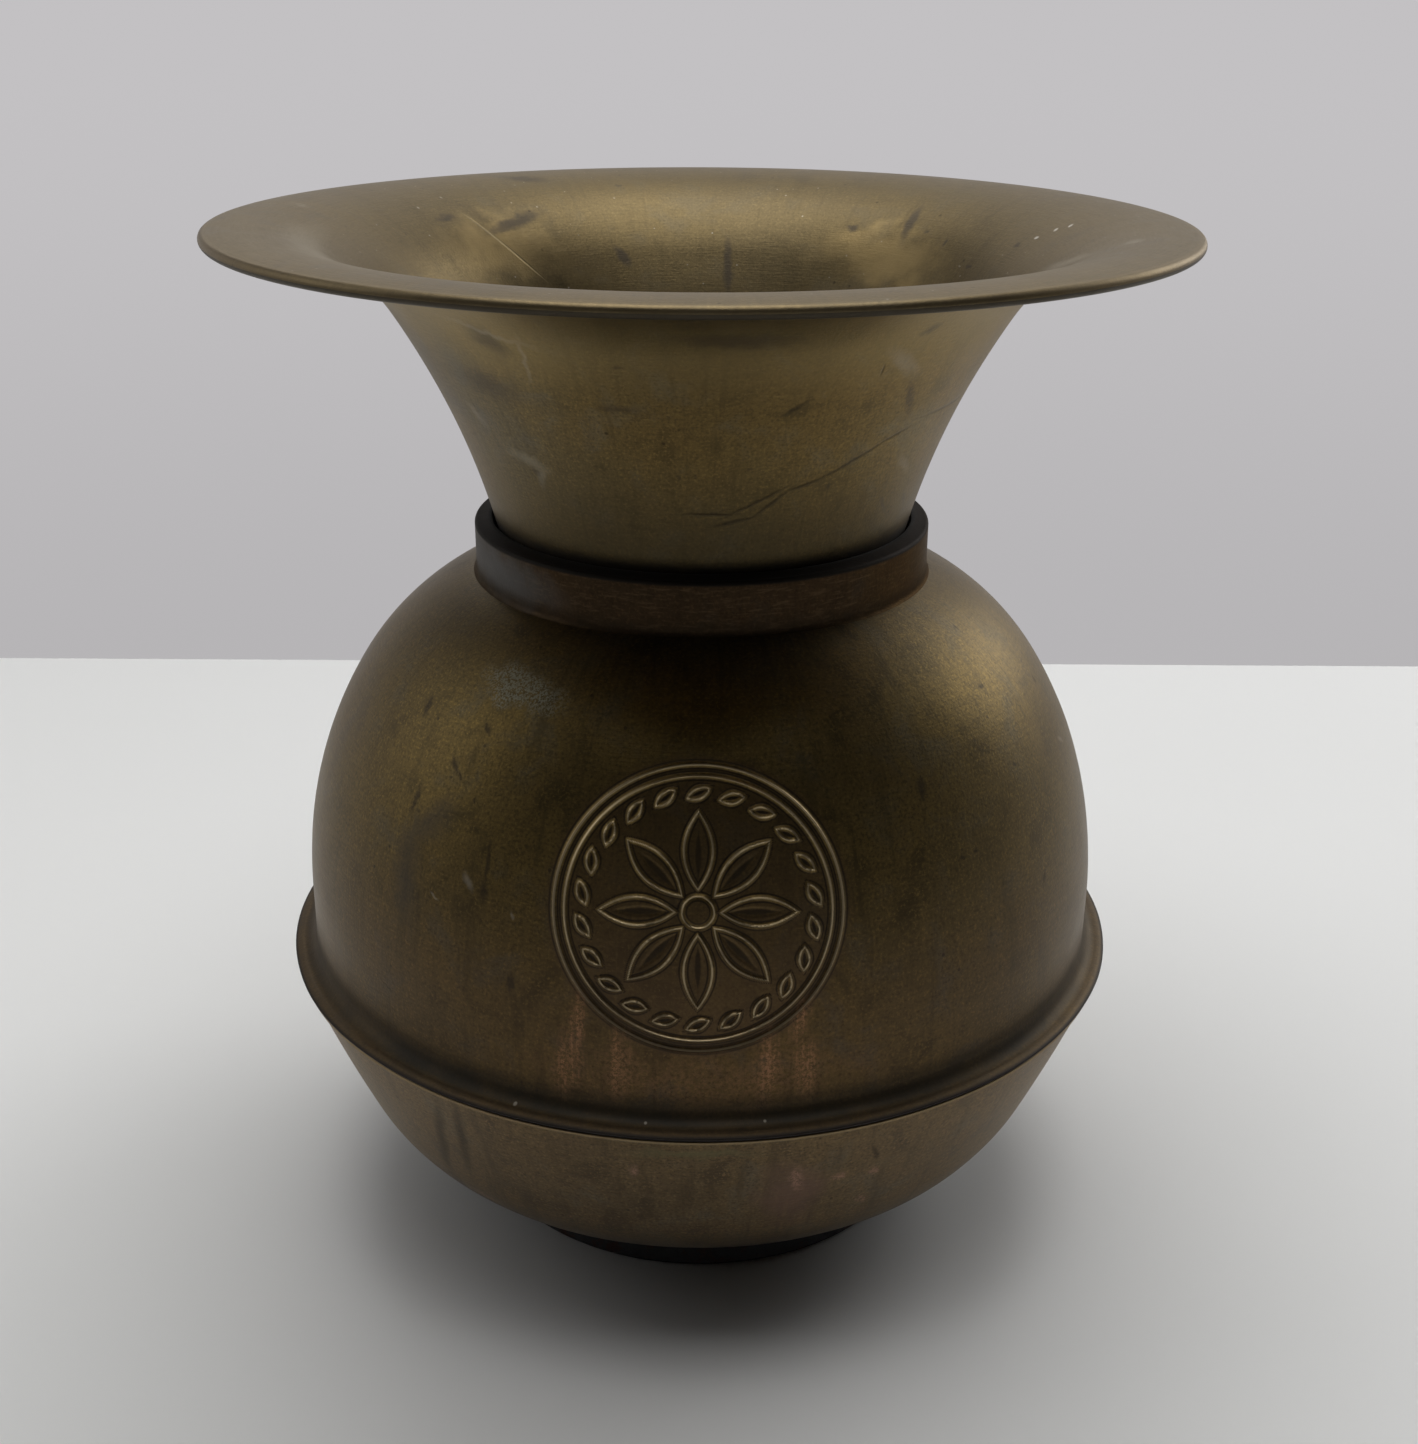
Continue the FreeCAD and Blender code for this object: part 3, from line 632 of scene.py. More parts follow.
class Shader(Nodes):
    """The nodes of one material."""

    def __init__(self, name):
        self.material = bpy.data.materials.new(name)
        self.material.use_nodes = True
        super().__init__(self.material.node_tree)
        self.surface = self.node("ShaderNodeBsdfPrincipled")
        self.put(self.surface.outputs[0], self.node("ShaderNodeOutputMaterial").inputs["Surface"])
        self.place = self.node("ShaderNodeTexCoord").outputs["Object"]
        self.z = self.split(self.place)[2]

    def blend(self, share, a, b, kind="MIX"):
        """Colour a where share is 0 and b, or a times b, where it is 1."""
        made = self.node("ShaderNodeMix", data_type="RGBA", blend_type=kind)
        self.put(share, made.inputs["Factor"])
        for value, socket in zip((a, b), [s for s in made.inputs if s.type == "RGBA"]):
            self.put(value if isinstance(value, bpy.types.NodeSocket) else (*value, 1.0), socket)
        return next(s for s in made.outputs if s.type == "RGBA")

    def vector(self, operation, a, b=(0.0, 0.0, 0.0)):
        made = self.node("ShaderNodeVectorMath", operation=operation)
        self.put(a, made.inputs[0])
        self.put(b, made.inputs[1])
        return made.outputs["Value" if operation == "LENGTH" else "Vector"]

    def combined(self, x, y, z):
        made = self.node("ShaderNodeCombineXYZ")
        for value, socket in zip((x, y, z), made.inputs):
            self.put(value, socket)
        return made.outputs[0]

    def round_vessel(self, around, run):
        """A place for noise: so many cells a radian round the vessel, and run along its wall."""
        compass = self.vector("MULTIPLY", self.vector("NORMALIZE", self.level()), (around, around, 0.0))
        return self.vector("ADD", compass, self.combined(0.0, 0.0, run))

    def along_wall(self, by_radius, by_height):
        """Distance along a wall in metres, near enough for noise."""
        return self.add(self.times(self.from_axis(), by_radius), self.times(self.z, by_height))

    def cloud(self, scale, detail=3.0, rough=0.55, place=None, twist=0.0):
        """Noise of so many cells a metre, about 0.5 on average."""
        made = self.node("ShaderNodeTexNoise")
        self.put(place or self.place, made.inputs["Vector"])
        made.inputs["Scale"].default_value = scale
        made.inputs["Detail"].default_value = detail
        made.inputs["Roughness"].default_value = rough
        made.inputs["Distortion"].default_value = twist
        return made.outputs["Fac"]

    def frayed(self, scale, amount):
        """The place, shifted by noise so that a mark's edge is uneven."""
        made = self.node("ShaderNodeTexNoise")
        self.put(self.place, made.inputs["Vector"])
        made.inputs["Scale"].default_value = scale
        made.inputs["Detail"].default_value = 3.0
        centred = self.vector("SUBTRACT", made.outputs["Color"], (0.5, 0.5, 0.5))
        return self.vector("ADD", self.place, self.vector("MULTIPLY", centred, (amount,) * 3))

    def dots(self, scale, size, share):
        """Scattered dots; size is in cells, share is the part of the cells that have one."""
        made = self.node("ShaderNodeTexVoronoi")
        self.put(self.place, made.inputs["Vector"])
        made.inputs["Scale"].default_value = scale
        chance = self.node("ShaderNodeSeparateColor")
        self.put(made.outputs["Color"], chance.inputs[0])
        return self.times(self.ramp(made.outputs["Distance"], size, size * 0.5),
                          self.ramp(chance.outputs[0], 1 - share, 1 - share * 0.8))

    def near(self, here, there, width, soft, place, depth):
        """A mark from here to there on a wall, both in metres, fading at its edge."""
        middle = (here + there) / 2
        outward = Vector((middle.x, middle.y, 0)).normalized()
        along = there - here
        forward = (along if along.length > 1e-5 else outward.cross(Vector((0, 0, 1)))).normalized()
        aside = outward.cross(forward).normalized()
        axes = Matrix((forward, aside, forward.cross(aside))).transposed()
        made = self.node("ShaderNodeMapping", vector_type="TEXTURE")
        self.put(place, made.inputs["Vector"])
        made.inputs["Location"].default_value = middle
        made.inputs["Rotation"].default_value = axes.to_euler()
        made.inputs["Scale"].default_value = (along.length / 2 + width / 2, width / 2,
                                              max(depth, width) + 0.1 * along.length)
        return self.ramp(self.vector("LENGTH", made.outputs[0]), 1 + soft, 1 - soft)

    def marks(self, rows, wall, soft=0.35, place=None, depth=MARK_DEPTH):
        """Marks on a wall; each row is turn, height, turn, height and width, in degrees and mm."""
        mask = 0.0
        for turn_1, height_1, turn_2, height_2, width in rows:
            here, there = wall_point(wall, turn_1, height_1), wall_point(wall, turn_2, height_2)
            mark = self.near(here, there, width * MM, soft, place or self.place, depth)
            mask = self.math("MAXIMUM", mark, mask)
        return mask

    def bump(self, height, distance, before=None):
        made = self.node("ShaderNodeBump")
        made.inputs["Distance"].default_value = distance
        made.inputs["Strength"].default_value = 1.0
        self.put(height, made.inputs["Height"])
        if before:
            self.put(before, made.inputs["Normal"])
        return made.outputs[0]

    def level(self):
        """The place without its height."""
        return self.vector("MULTIPLY", self.place, (1.0, 1.0, 0.0))

    def from_axis(self):
        return self.vector("LENGTH", self.level())

    def at_height(self, limits):
        return self.ramp(self.z, *limits)

    def at_reach(self, limits):
        return self.ramp(self.from_axis(), *limits)

    def finish(self, colour, roughness, metallic, normal):
        self.put(colour, self.surface.inputs["Base Color"])
        self.put(roughness, self.surface.inputs["Roughness"])
        self.put(metallic, self.surface.inputs["Metallic"])
        self.put(normal, self.surface.inputs["Normal"])
        return self.material


# ---- walls and their marks


def wall_point(wall, turn, height):
    """A place on a wall in metres; a wall is the list of its points, from low to high."""
    radius = np.interp(height, [p[1] for p in wall], [p[0] for p in wall])
    angle = math.radians(turn)
    return Vector((radius * math.sin(angle), -radius * math.cos(angle), height)) * MM


BOWL_WALL = BOWL_RUN[::-1]
DOME_WALL = arc(COVE, COVE_RADIUS, 270, 180) + DOME_RUN
COLLAR_WALL = [(COLLAR_RADIUS, LEDGE), (COLLAR_RADIUS, CROWN)]

# turn and height of one end, turn and height of the other, width
SMEARS_INSIDE = (
    (-135.3, 268, -145.9, 271.2, 2.7), (-125.2, 272.4, -128.5, 272.7, 1.8),
    (-147.1, 279.5, -152.4, 278.8, 2.3), (-164.7, 276.9, -165.1, 276.9, 1.6),
    (-161.8, 260.3, -163, 257.5, 3.1), (175, 261.8, 174.5, 249.6, 2.5),
    (137.5, 267.3, 138.1, 273.1, 3.1), (127, 266.2, 127, 267.3, 1.2),
    (149.9, 267.7, 149, 267.8, 2.2), (133.5, 268.9, 133, 269, 1.2),
    (108, 269.8, 106.9, 270, 1.2), (116.7, 262.6, 115.8, 262.7, 1.2),
)
SCRATCH_INSIDE = ((-132.9, 270.8, -141.4, 256.6, 0.7),)
GOLD_INSIDE = ((-128.2, 265.1, -142.1, 262.4, 13), (148.7, 262.8, 133.4, 261, 12))
DUST_INSIDE = (
    (-130.7, 277, -130.9, 277, 0.9), (-123.5, 275.6, -123.7, 275.6, 0.9),
    (-123.3, 278.9, -123.6, 278.9, 0.9), (104.8, 272.5, 104.2, 272.6, 0.9),
    (102.1, 274.6, 102.5, 275, 0.9), (100.3, 276, 100.7, 276.4, 0.9),
)
PALE_INSIDE = (
    (-102.4, 279.8, -101.6, 279.2, 1.6), (-85.5, 277, -42.9, 278.6, 3.8),
    (70.8, 278.8, 73.8, 279.3, 1.4), (85.6, 268.7, 72.8, 275.1, 2.4),
)
PALE_FUNNEL = (
    (-52.9, 239.6, -51.2, 237.1, 2.5), (-42.9, 229.9, -36.8, 227.9, 2.7),
    (-37.1, 227.1, -37.8, 223.6, 2.2), (50.6, 226.8, 54.8, 223.6, 2.2),
    (-42.1, 265.7, -29.9, 261.7, 1.1), (-29.9, 261.7, -30.8, 253.3, 1.1),
    (33.6, 258.8, 39.1, 253.9, 3),
)
DARK_FUNNEL = (
    (-39, 226.1, -38.5, 225.7, 1.5), (-18, 246.3, -12.5, 246.5, 1.6),
    (-13.8, 257.4, -12.8, 257.5, 0.8), (37.1, 263.8, 38.9, 265.1, 2),
    (40.9, 249.6, 44.3, 242, 2.2), (58.1, 216.9, 62.5, 210.7, 0.9),
    (47.9, 217, 51.7, 212.7, 0.9), (-4.6, 229, -4.6, 228.7, 0.7),
    (-1, 229.3, -1, 229.1, 0.7), (9.9, 231, 10.1, 231, 0.8), (28.7, 224.4, 29, 224.3, 1.1),
)
CLOUDS_FUNNEL = (
    (-1.5, 265.3, 13, 264.9, 3.4), (-37.6, 262.5, -35, 260.5, 5.5), (-46.4, 249, -38.7, 248.1, 6.6),
)
FILM_FUNNEL = ((-75, 255, -45, 235, 36),)
SCRATCHES_FUNNEL = (
    (3.5, 215.3, 11.8, 217.4, 0.9), (11.8, 217.4, 19.4, 224.2, 0.9), (19.4, 224.2, 26.2, 226.4, 0.9),
    (26.2, 226.4, 40.5, 234.5, 0.8), (40.5, 234.5, 46.3, 236.8, 0.8), (53.1, 239.2, 66.9, 240, 0.9),
    (-2.4, 218.6, 6.9, 218.5, 0.8), (6.9, 218.5, 17.7, 224.7, 0.8), (15.4, 244.9, 18.8, 248.1, 1),
    (32.1, 254.1, 32.1, 255.9, 0.6),
)
GREY_COLLAR = ((-88, 197, -50, 194.5, 13),)
GREY_DOME = ((-37.9, 176.6, -27.2, 175.2, 6.5),)
DARK_DOME = (
    (-49.9, 168.5, -49.6, 166.1, 2.2), (-35.6, 167.9, -34.8, 167, 1.3), (-39.2, 159.4, -38.2, 157.7, 1.4),
    (-37.2, 157, -36.8, 156.3, 1), (-43.8, 150.7, -44.1, 145.3, 1.5), (-29, 134.4, -28.8, 132.6, 2.4),
    (-29.1, 144.2, -28.8, 136.2, 1), (-33.3, 153, -33.1, 152.1, 0.7), (37.6, 138.1, 38, 138.1, 1),
    (40.2, 138.4, 40.6, 138.4, 0.8), (33.9, 157.5, 33.4, 154.2, 2.2), (55.1, 170.3, 55.7, 170.1, 0.9),
    (53.8, 152.4, 54.1, 152.2, 1), (74.8, 163, 74.3, 162, 1.4), (62.8, 181, 62.7, 180.6, 0.8),
    (54.7, 123.6, 54.1, 121.5, 1.1), (-24, 114, -24, 111.4, 2.1), (-46.1, 98.8, -44.4, 97.3, 0.5),
)
CLOUDS_DOME = ((-42.1, 139.8, -38.5, 146.9, 7), (-42.6, 136.6, -42.2, 126.7, 9))
PALE_DOME = (
    (-31.9, 135.3, -31.1, 133.7, 1.8), (-24.4, 129.8, -24.3, 129.1, 0.8), (-37.2, 128.9, -36.2, 128, 0.6),
    (72.6, 147.6, 73.9, 146.2, 1.1),
)
COPPER_DOME = (
    (-14.8, 110.1, -15.1, 99.7, 3.4), (-16, 99.4, -16.6, 88.3, 5.2), (-9.5, 101.3, -9.6, 89.7, 4.4),
    (13.2, 110.2, 12.1, 104.3, 3.6), (13.4, 98.4, 13.6, 90.1, 4.8), (8.8, 101.2, 8.5, 90, 4.6),
)
BLUSH_DOME = ((-13, 91.5, 15, 91.5, 15),)
DEPOSIT_COVE = (
    (-42.9, 81.8, -35, 82, 4), (-35, 82, -27.7, 81.8, 4), (-27.7, 81.8, -12, 81.6, 3.4),
    (-12, 81.6, 4, 81.4, 3), (4, 81.4, 20.9, 81.6, 3), (20.9, 81.6, 33.5, 81.8, 3.2),
    (41.1, 81.8, 51.2, 82, 3.4),
)
CHIPS_COVE = ((-23, 80.8, -22.9, 80.8, 0.7), (-6.3, 81, -6.2, 81, 0.5), (8.2, 81.2, 8.3, 81.2, 0.5))
DARK_BOWL = (
    (-35.5, 69.1, -40.1, 44, 3), (-31.8, 72.8, -34.5, 49.2, 3), (-44.5, 65.2, -44.3, 65, 0.9),
    (22.7, 67.8, 23.8, 62.5, 1.1),
)
PINK_BOWL = (
    (-8.1, 66.2, -8, 63.8, 1.9), (12.7, 63.3, 13.3, 57, 2.8), (18.3, 58.3, 19.2, 57.7, 2.2),
    (23.8, 45.2, 24.5, 44.6, 2.3), (24.1, 57.2, 24.4, 56.2, 2.2), (-36, 35, -34.4, 33.7, 2.2),
    (-18.8, 39.3, -18.5, 39.5, 0.9),
)
BLUSH_BOWL = ((12.2, 57.9, 12.9, 48.8, 14),)
GREEN_BOWL = ((-5.7, 72.6, 5.2, 73.2, 3.4),)

# ---- materials

# heights in metres between which a wall changes its look, from none of the change to all of it
FLARE_BRIGHT, FLARE_DARKER_LOW, INSIDE_DARKER_LOW = (0.245, 0.264), (0.236, 0.206), (0.25, 0.2)
# painted shade on the spigot where it goes down into the collar's gap, mottled like grime
SPIGOT_SHADE_AND_GRIME = (0.2055, 0.2030)
# painted shade at the collar's foot, in the hollow where it meets the dome, and on the collar's top under the
# funnel
COLLAR_FOOT_SHADE, COLLAR_TOP_SHADE = (0.1925, 0.1885), (0.2003, 0.2010)
# painted shade on the dome, low down and near its top
DOME_LOW_SHADE, DOME_TOP_SHADE = (0.150, 0.105), (0.168, 0.188)
# painted shade in the cove's crease and in the groove of the seam
CREASE_SHADE_HEIGHT, SEAM_GAP_SHADE = (0.0895, 0.0830), (0.0801, 0.0797)
# painted shade low on the bowl, and a painted highlight along its rim edge
BOWL_LOW_SHADE, BOWL_EDGE_HIGHLIGHT = (0.040, 0.015), (0.0772, 0.0777)
# the same for distances from the axis
# painted shade under the rolled edge
CURL_UNDERSIDE_SHADE, CURL_TOP = (0.1236, 0.1246), (0.1244, 0.1256)
# painted shade in the gap between the collar and the funnel
COLLAR_GAP_SHADE = (0.0586, 0.0578)
# painted shade in the cove's crease, out to the lip
CREASE_SHADE_REACH, LIP_REACH = (0.1172, 0.1148), (0.1155, 0.1172)

DIRT = (0.022, 0.016, 0.010)
SMUDGE = (0.055, 0.045, 0.034)
DUST = (0.42, 0.38, 0.31)
COPPER = (0.33, 0.165, 0.078)
WAVY = (230, 0.004)


class Brass(Shader):
    """Worn brass, mottled and spun, to which stains, scratches, painted shade and a painted highlight are
    added layer by layer.

    tone, warm and grey are its colours, by_radius and by_height say how its wall runs, and drips,
    film and fine are the strengths of the runs down the wall, the clear film and the texture.
    """

    def __init__(self, name, tone, warm, grey, by_radius=0.0, by_height=1.0, drips=0.1, film=0.2,
                 fine=1.0):
        super().__init__(name)
        large = self.cloud(13.0, 3.0, 0.6)
        self.mottle = self.cloud(70.0, 5.0, 0.62, twist=0.5)
        self.grain = self.cloud(1300.0, 2.0, 0.6)
        run = self.along_wall(by_radius, by_height)
        self.rings = self.cloud(1.0, 3.0, 0.6, place=self.round_vessel(13.0, self.times(run, 1300.0)))
        self.runs = self.cloud(1.0, 3.0, 0.6, place=self.round_vessel(26.0, self.times(run, 22.0)))
        self.drips = self.cloud(1.0, 4.0, 0.65, place=self.round_vessel(95.0, self.times(run, 14.0)))
        dark = tuple(0.55 * channel for channel in tone)
        self.colour = self.blend(self.ramp(large, 0.36, 0.66), tone, warm)
        light = tuple(1.5 * channel for channel in warm)
        layers = (
            (self.mottle, 0.5, 0.70, 0.6 * fine, grey), (self.mottle, 0.48, 0.3, 0.7 * fine, dark),
            (self.grain, 0.5, 0.68, 0.55 * fine, dark), (self.grain, 0.46, 0.3, 0.6 * fine, light),
            (self.rings, 0.5, 0.66, 0.15 * fine, dark), (self.rings, 0.46, 0.32, 0.13 * fine, light),
            (self.runs, 0.5, 0.72, 0.4 * fine, dark),
            (self.drips, 0.52, 0.72, drips, dark), (self.drips, 0.46, 0.28, drips, light),
        )
        for cloud, first, full, strength, colour in layers:
            self.stain_and_painted_light(self.ramp(cloud, first, full), strength, colour)
        self.stain_and_painted_light(self.dots(230, 0.14, 0.2), 0.6, DIRT)
        self.roughness = self.add(0.3, self.add(self.times(self.mottle, 0.16), self.times(self.rings, 0.08)))
        self.metal = 0.95
        gloss = (("Specular Tint", (0.86, 0.81, 0.74, 1.0)), ("Coat Weight", film),
                 ("Coat Roughness", 0.45), ("Sheen Weight", 0.05), ("Sheen Roughness", 0.4))
        for socket, value in gloss:
            self.surface.inputs[socket].default_value = value
        self.height = self.add(self.times(self.grain, 0.45), self.times(self.rings, 0.4))

    def stain_and_painted_light(self, mask, strength, colour, rough=0.0, matt=0.0, depth=0.0):
        """Lay a colour over the brass, for a stain or for painted shade and highlight; rough and matt change
        the gloss, depth sinks the surface.
        """
        mask = self.times(mask, strength) if strength < 1 else mask
        self.colour = self.blend(mask, self.colour, colour)
        if rough:
            self.roughness = self.add(self.roughness, self.times(mask, rough))
        if matt:
            self.metal = self.math("MAXIMUM", self.minus(self.metal, self.times(mask, matt)), 0.0)
        if depth:
            self.height = self.minus(self.height, self.times(mask, depth))

    def lay(self, rows, wall, strength, colour, soft, fray=None, **change):
        """Stain marks on a wall; fray is how fine and how far their edges are uneven."""
        place = self.frayed(*fray) if fray else None
        self.stain_and_painted_light(self.marks(rows, wall, soft, place), strength, colour, **change)

    def tint(self, mask, factor):
        """Multiply the colour, so that the texture under it stays."""
        self.colour = self.blend(mask, self.colour, factor, "MULTIPLY")

    def done(self):
        return self.finish(self.colour, self.roughness, self.metal, self.bump(self.height, 0.00011))


def funnel_outside():
    s = Brass("funnel_outside", (0.150, 0.106, 0.038), (0.175, 0.115, 0.036), (0.170, 0.142, 0.086),
              by_radius=1.0, by_height=1.2)
    s.stain_and_painted_light(s.at_height(FLARE_BRIGHT), 0.55, (0.27, 0.20, 0.085))
    s.tint(s.marks(FILM_FUNNEL, FLARE, 0.9, s.frayed(60, 0.03)), (0.62, 0.70, 1.0))
    s.lay(CLOUDS_FUNNEL, FLARE, 0.55, SMUDGE, 0.8, WAVY, rough=0.1)
    s.lay(PALE_FUNNEL, FLARE, 0.22, DUST, 0.9, WAVY, rough=0.12, matt=0.4)
    s.lay(DARK_FUNNEL, FLARE, 0.5, DIRT, 0.8, (700, 0.0018), matt=0.3)
    s.lay(SCRATCHES_FUNNEL, FLARE, 0.62, DIRT, 0.9, (300, 0.0008), depth=1.2)
    # darker towards the throat
    s.stain_and_painted_light(s.at_height(FLARE_DARKER_LOW), 0.65, (0.050, 0.038, 0.018), rough=0.08)
    # painted shade in the collar's gap over the spigot, with mottled grime
    spigot_shade_and_grime = s.times(s.at_height(SPIGOT_SHADE_AND_GRIME), s.add(0.62, s.times(s.ramp(s.mottle, 0.34, 0.6), 0.36)))
    s.stain_and_painted_light(spigot_shade_and_grime, 1, (0.022, 0.017, 0.010), rough=0.2, matt=0.45)
    # painted shade under the rolled edge
    s.stain_and_painted_light(s.at_reach(CURL_UNDERSIDE_SHADE), 0.9, (0.020, 0.015, 0.009), rough=0.15, matt=0.4)
    return s.done()


def funnel_inside():
    s = Brass("funnel_inside", (0.108, 0.081, 0.040), (0.124, 0.091, 0.041), (0.118, 0.100, 0.066),
              by_radius=1.0, by_height=1.2, film=0.1, fine=0.55)
    s.lay(GOLD_INSIDE, FLARE, 0.75, (0.27, 0.195, 0.085), 0.8, (120, 0.02))
    s.lay(PALE_INSIDE, FLARE, 0.25, DUST, 0.9, WAVY, rough=0.15, matt=0.4)
    s.lay(SMEARS_INSIDE, FLARE, 0.75, SMUDGE, 0.5, (400, 0.002), rough=0.1)
    s.lay(DUST_INSIDE, FLARE, 0.9, DUST, 0.3, matt=0.9)
    s.lay(SCRATCH_INSIDE, FLARE, 0.7, (0.34, 0.27, 0.15), 0.6, depth=1.5)
    s.stain_and_painted_light(s.dots(400, 0.15, 0.12), 0.4, DUST, matt=0.8)
    # darker and greyer towards the throat
    s.stain_and_painted_light(s.at_height(INSIDE_DARKER_LOW), 0.75, SMUDGE, rough=0.1)
    s.stain_and_painted_light(s.at_reach(CURL_TOP), 0.25, (0.22, 0.17, 0.10))
    return s.done()


def collar_finish():
    s = Brass("collar_finish", (0.034, 0.021, 0.010), (0.052, 0.030, 0.013), (0.036, 0.029, 0.020), drips=0.0,
              film=0.05, fine=0.8)
    s.stain_and_painted_light(s.ramp(s.rings, 0.48, 0.34), 0.4, (0.090, 0.058, 0.030))
    s.lay(GREY_COLLAR, COLLAR_WALL, 0.9, (0.105, 0.105, 0.105), 0.7, (200, 0.006), rough=0.15, matt=0.4)
    # painted shade in the hollow where the collar runs into the dome
    s.stain_and_painted_light(s.at_height(COLLAR_FOOT_SHADE), 0.5, (0.026, 0.018, 0.010), rough=0.1)
    # painted shade on the collar's top under the funnel's flare
    s.stain_and_painted_light(s.at_height(COLLAR_TOP_SHADE), 1, (0.012, 0.010, 0.008), rough=0.25, matt=0.3)
    s.surface.inputs["Specular Tint"].default_value = (0.5, 0.45, 0.38, 1.0)
    # painted shade down in the gap between the collar and the funnel
    s.stain_and_painted_light(s.at_reach(COLLAR_GAP_SHADE), 1, (0.008, 0.007, 0.006), rough=0.3, matt=0.8)
    return s.done()


def dome_outside():
    s = Brass("dome_outside", (0.109, 0.076, 0.025), (0.134, 0.090, 0.025), (0.104, 0.084, 0.045),
              by_radius=-1.0, by_height=1.0, drips=0.18, fine=1.25)
    # painted shade on the lower dome
    s.tint(s.at_height(DOME_LOW_SHADE), (0.69, 0.63, 0.74))
    # painted shade on the upper dome, near the collar
    s.tint(s.at_height(DOME_TOP_SHADE), (0.70, 0.70, 0.75))
    s.lay(CLOUDS_DOME, DOME_WALL, 0.6, SMUDGE, 0.9, (90, 0.012), rough=0.1)
    fleck = s.ramp(s.cloud(1700, 2, 0.7), 0.42, 0.6)
    grey = s.marks(GREY_DOME, DOME_WALL, 0.5, s.frayed(170, 0.008))
    s.stain_and_painted_light(s.times(grey, fleck), 0.85, (0.27, 0.27, 0.20), rough=0.25, matt=0.6)
    s.lay(PALE_DOME, DOME_WALL, 0.3, DUST, 0.8, (500, 0.0015), matt=0.4)
    s.lay(DARK_DOME, DOME_WALL, 0.65, DIRT, 0.7, (600, 0.0018), rough=0.1)
    wear = s.node("ShaderNodeAttribute", attribute_name="wear").outputs["Fac"]
    s.stain_and_painted_light(s.ramp(wear, 0.0, 0.35), 0.5, (0.078, 0.047, 0.023))
    s.stain_and_painted_light(s.ramp(wear, 0.4, 0.95), 0.85, (0.014, 0.010, 0.006), rough=0.15)
    s.stain_and_painted_light(s.ramp(wear, -0.3, -0.95), 0.85, (0.38, 0.30, 0.18), rough=-0.14)
    patchy = s.ramp(s.cloud(1000, 5, 0.85), 0.44, 0.57)
    streaks = s.marks(COPPER_DOME, DOME_WALL, 0.9, s.frayed(300, 0.0035))
    streaks = s.times(streaks, s.add(0.4, s.times(s.ramp(s.drips, 0.6, 0.42), 0.6)))
    s.stain_and_painted_light(s.times(streaks, s.add(0.08, s.times(patchy, 0.92))), 1, COPPER, rough=0.1, matt=0.2)
    blush = s.times(s.marks(BLUSH_DOME, DOME_WALL, 0.7, s.frayed(80, 0.02)), patchy)
    s.stain_and_painted_light(blush, 0.4, (0.20, 0.105, 0.05))
    # painted shade in the cove over the skirt, mottled like a deposit
    crease_shade = s.times(s.at_height(CREASE_SHADE_HEIGHT), s.at_reach(CREASE_SHADE_REACH))
    s.stain_and_painted_light(s.times(crease_shade, s.add(0.3, s.times(s.mottle, 0.7))), 1, (0.030, 0.023, 0.013), rough=0.15)
    s.lay(DEPOSIT_COVE, DOME_WALL, 0.6, (0.016, 0.016, 0.013), 0.9, (120, 0.003), rough=0.2)
    s.stain_and_painted_light(s.at_reach(LIP_REACH), 0.4, (0.075, 0.055, 0.034), rough=0.2)
    # painted shade in the groove where the skirt meets the bowl
    s.stain_and_painted_light(s.at_height(SEAM_GAP_SHADE), 0.95, (0.012, 0.007, 0.005), rough=0.3, matt=0.5)
    s.stain_and_painted_light(s.marks(CHIPS_COVE, DOME_WALL, 0.4, depth=0.0005), 0.55, DUST, matt=0.9)
    return s.done()


def bowl_outside():
    s = Brass("bowl_outside", (0.160, 0.109, 0.055), (0.174, 0.115, 0.051), (0.164, 0.130, 0.082),
              by_radius=1.0, by_height=1.0, drips=0.2, fine=1.6)
    s.lay(BLUSH_BOWL, BOWL_WALL, 0.65, (0.20, 0.115, 0.082), 0.8, (110, 0.014))
    s.lay(GREEN_BOWL, BOWL_WALL, 0.6, (0.16, 0.15, 0.07), 0.8, (120, 0.01))
    s.lay(DARK_BOWL, BOWL_WALL, 0.65, DIRT, 0.9, (240, 0.002), rough=0.1)
    patchy = s.ramp(s.cloud(800, 5, 0.8), 0.42, 0.57)
    pink = s.marks(PINK_BOWL, BOWL_WALL, 0.8, s.frayed(320, 0.004))
    s.stain_and_painted_light(s.times(pink, patchy), 0.95, (0.40, 0.23, 0.155), rough=0.1, matt=0.3)
    # painted shade on the bowl's underside towards the foot
    s.tint(s.at_height(BOWL_LOW_SHADE), (0.52, 0.54, 0.58))
    # painted highlight along the bowl's rim edge
    s.stain_and_painted_light(s.at_height(BOWL_EDGE_HIGHLIGHT), 0.7, (0.27, 0.20, 0.11))
    return s.done()


def inner_walls():
    """The unpolished insides of the vessel."""
    s = Brass("inner_walls", (0.11, 0.085, 0.05), (0.13, 0.09, 0.048), (0.10, 0.09, 0.066))
    s.stain_and_painted_light(s.ramp(s.cloud(38.0, 5.0, 0.65), 0.45, 0.65), 0.7, DIRT, rough=0.25, matt=0.3)
    return s.done()


def iron(name):
    s = Shader(name)
    rough = s.cloud(260.0, 6.0, 0.7)
    rust = s.ramp(s.cloud(120.0, 5.0, 0.7), 0.5, 0.62)
    colour = s.blend(rust, (0.007, 0.0065, 0.007), (0.050, 0.022, 0.016))
    colour = s.blend(s.times(s.ramp(rough, 0.5, 0.7), 0.5), colour, (0.022, 0.019, 0.017))
    return s.finish(colour, s.add(0.6, s.times(rust, 0.3)), 0.1, s.bump(rough, 0.0009))


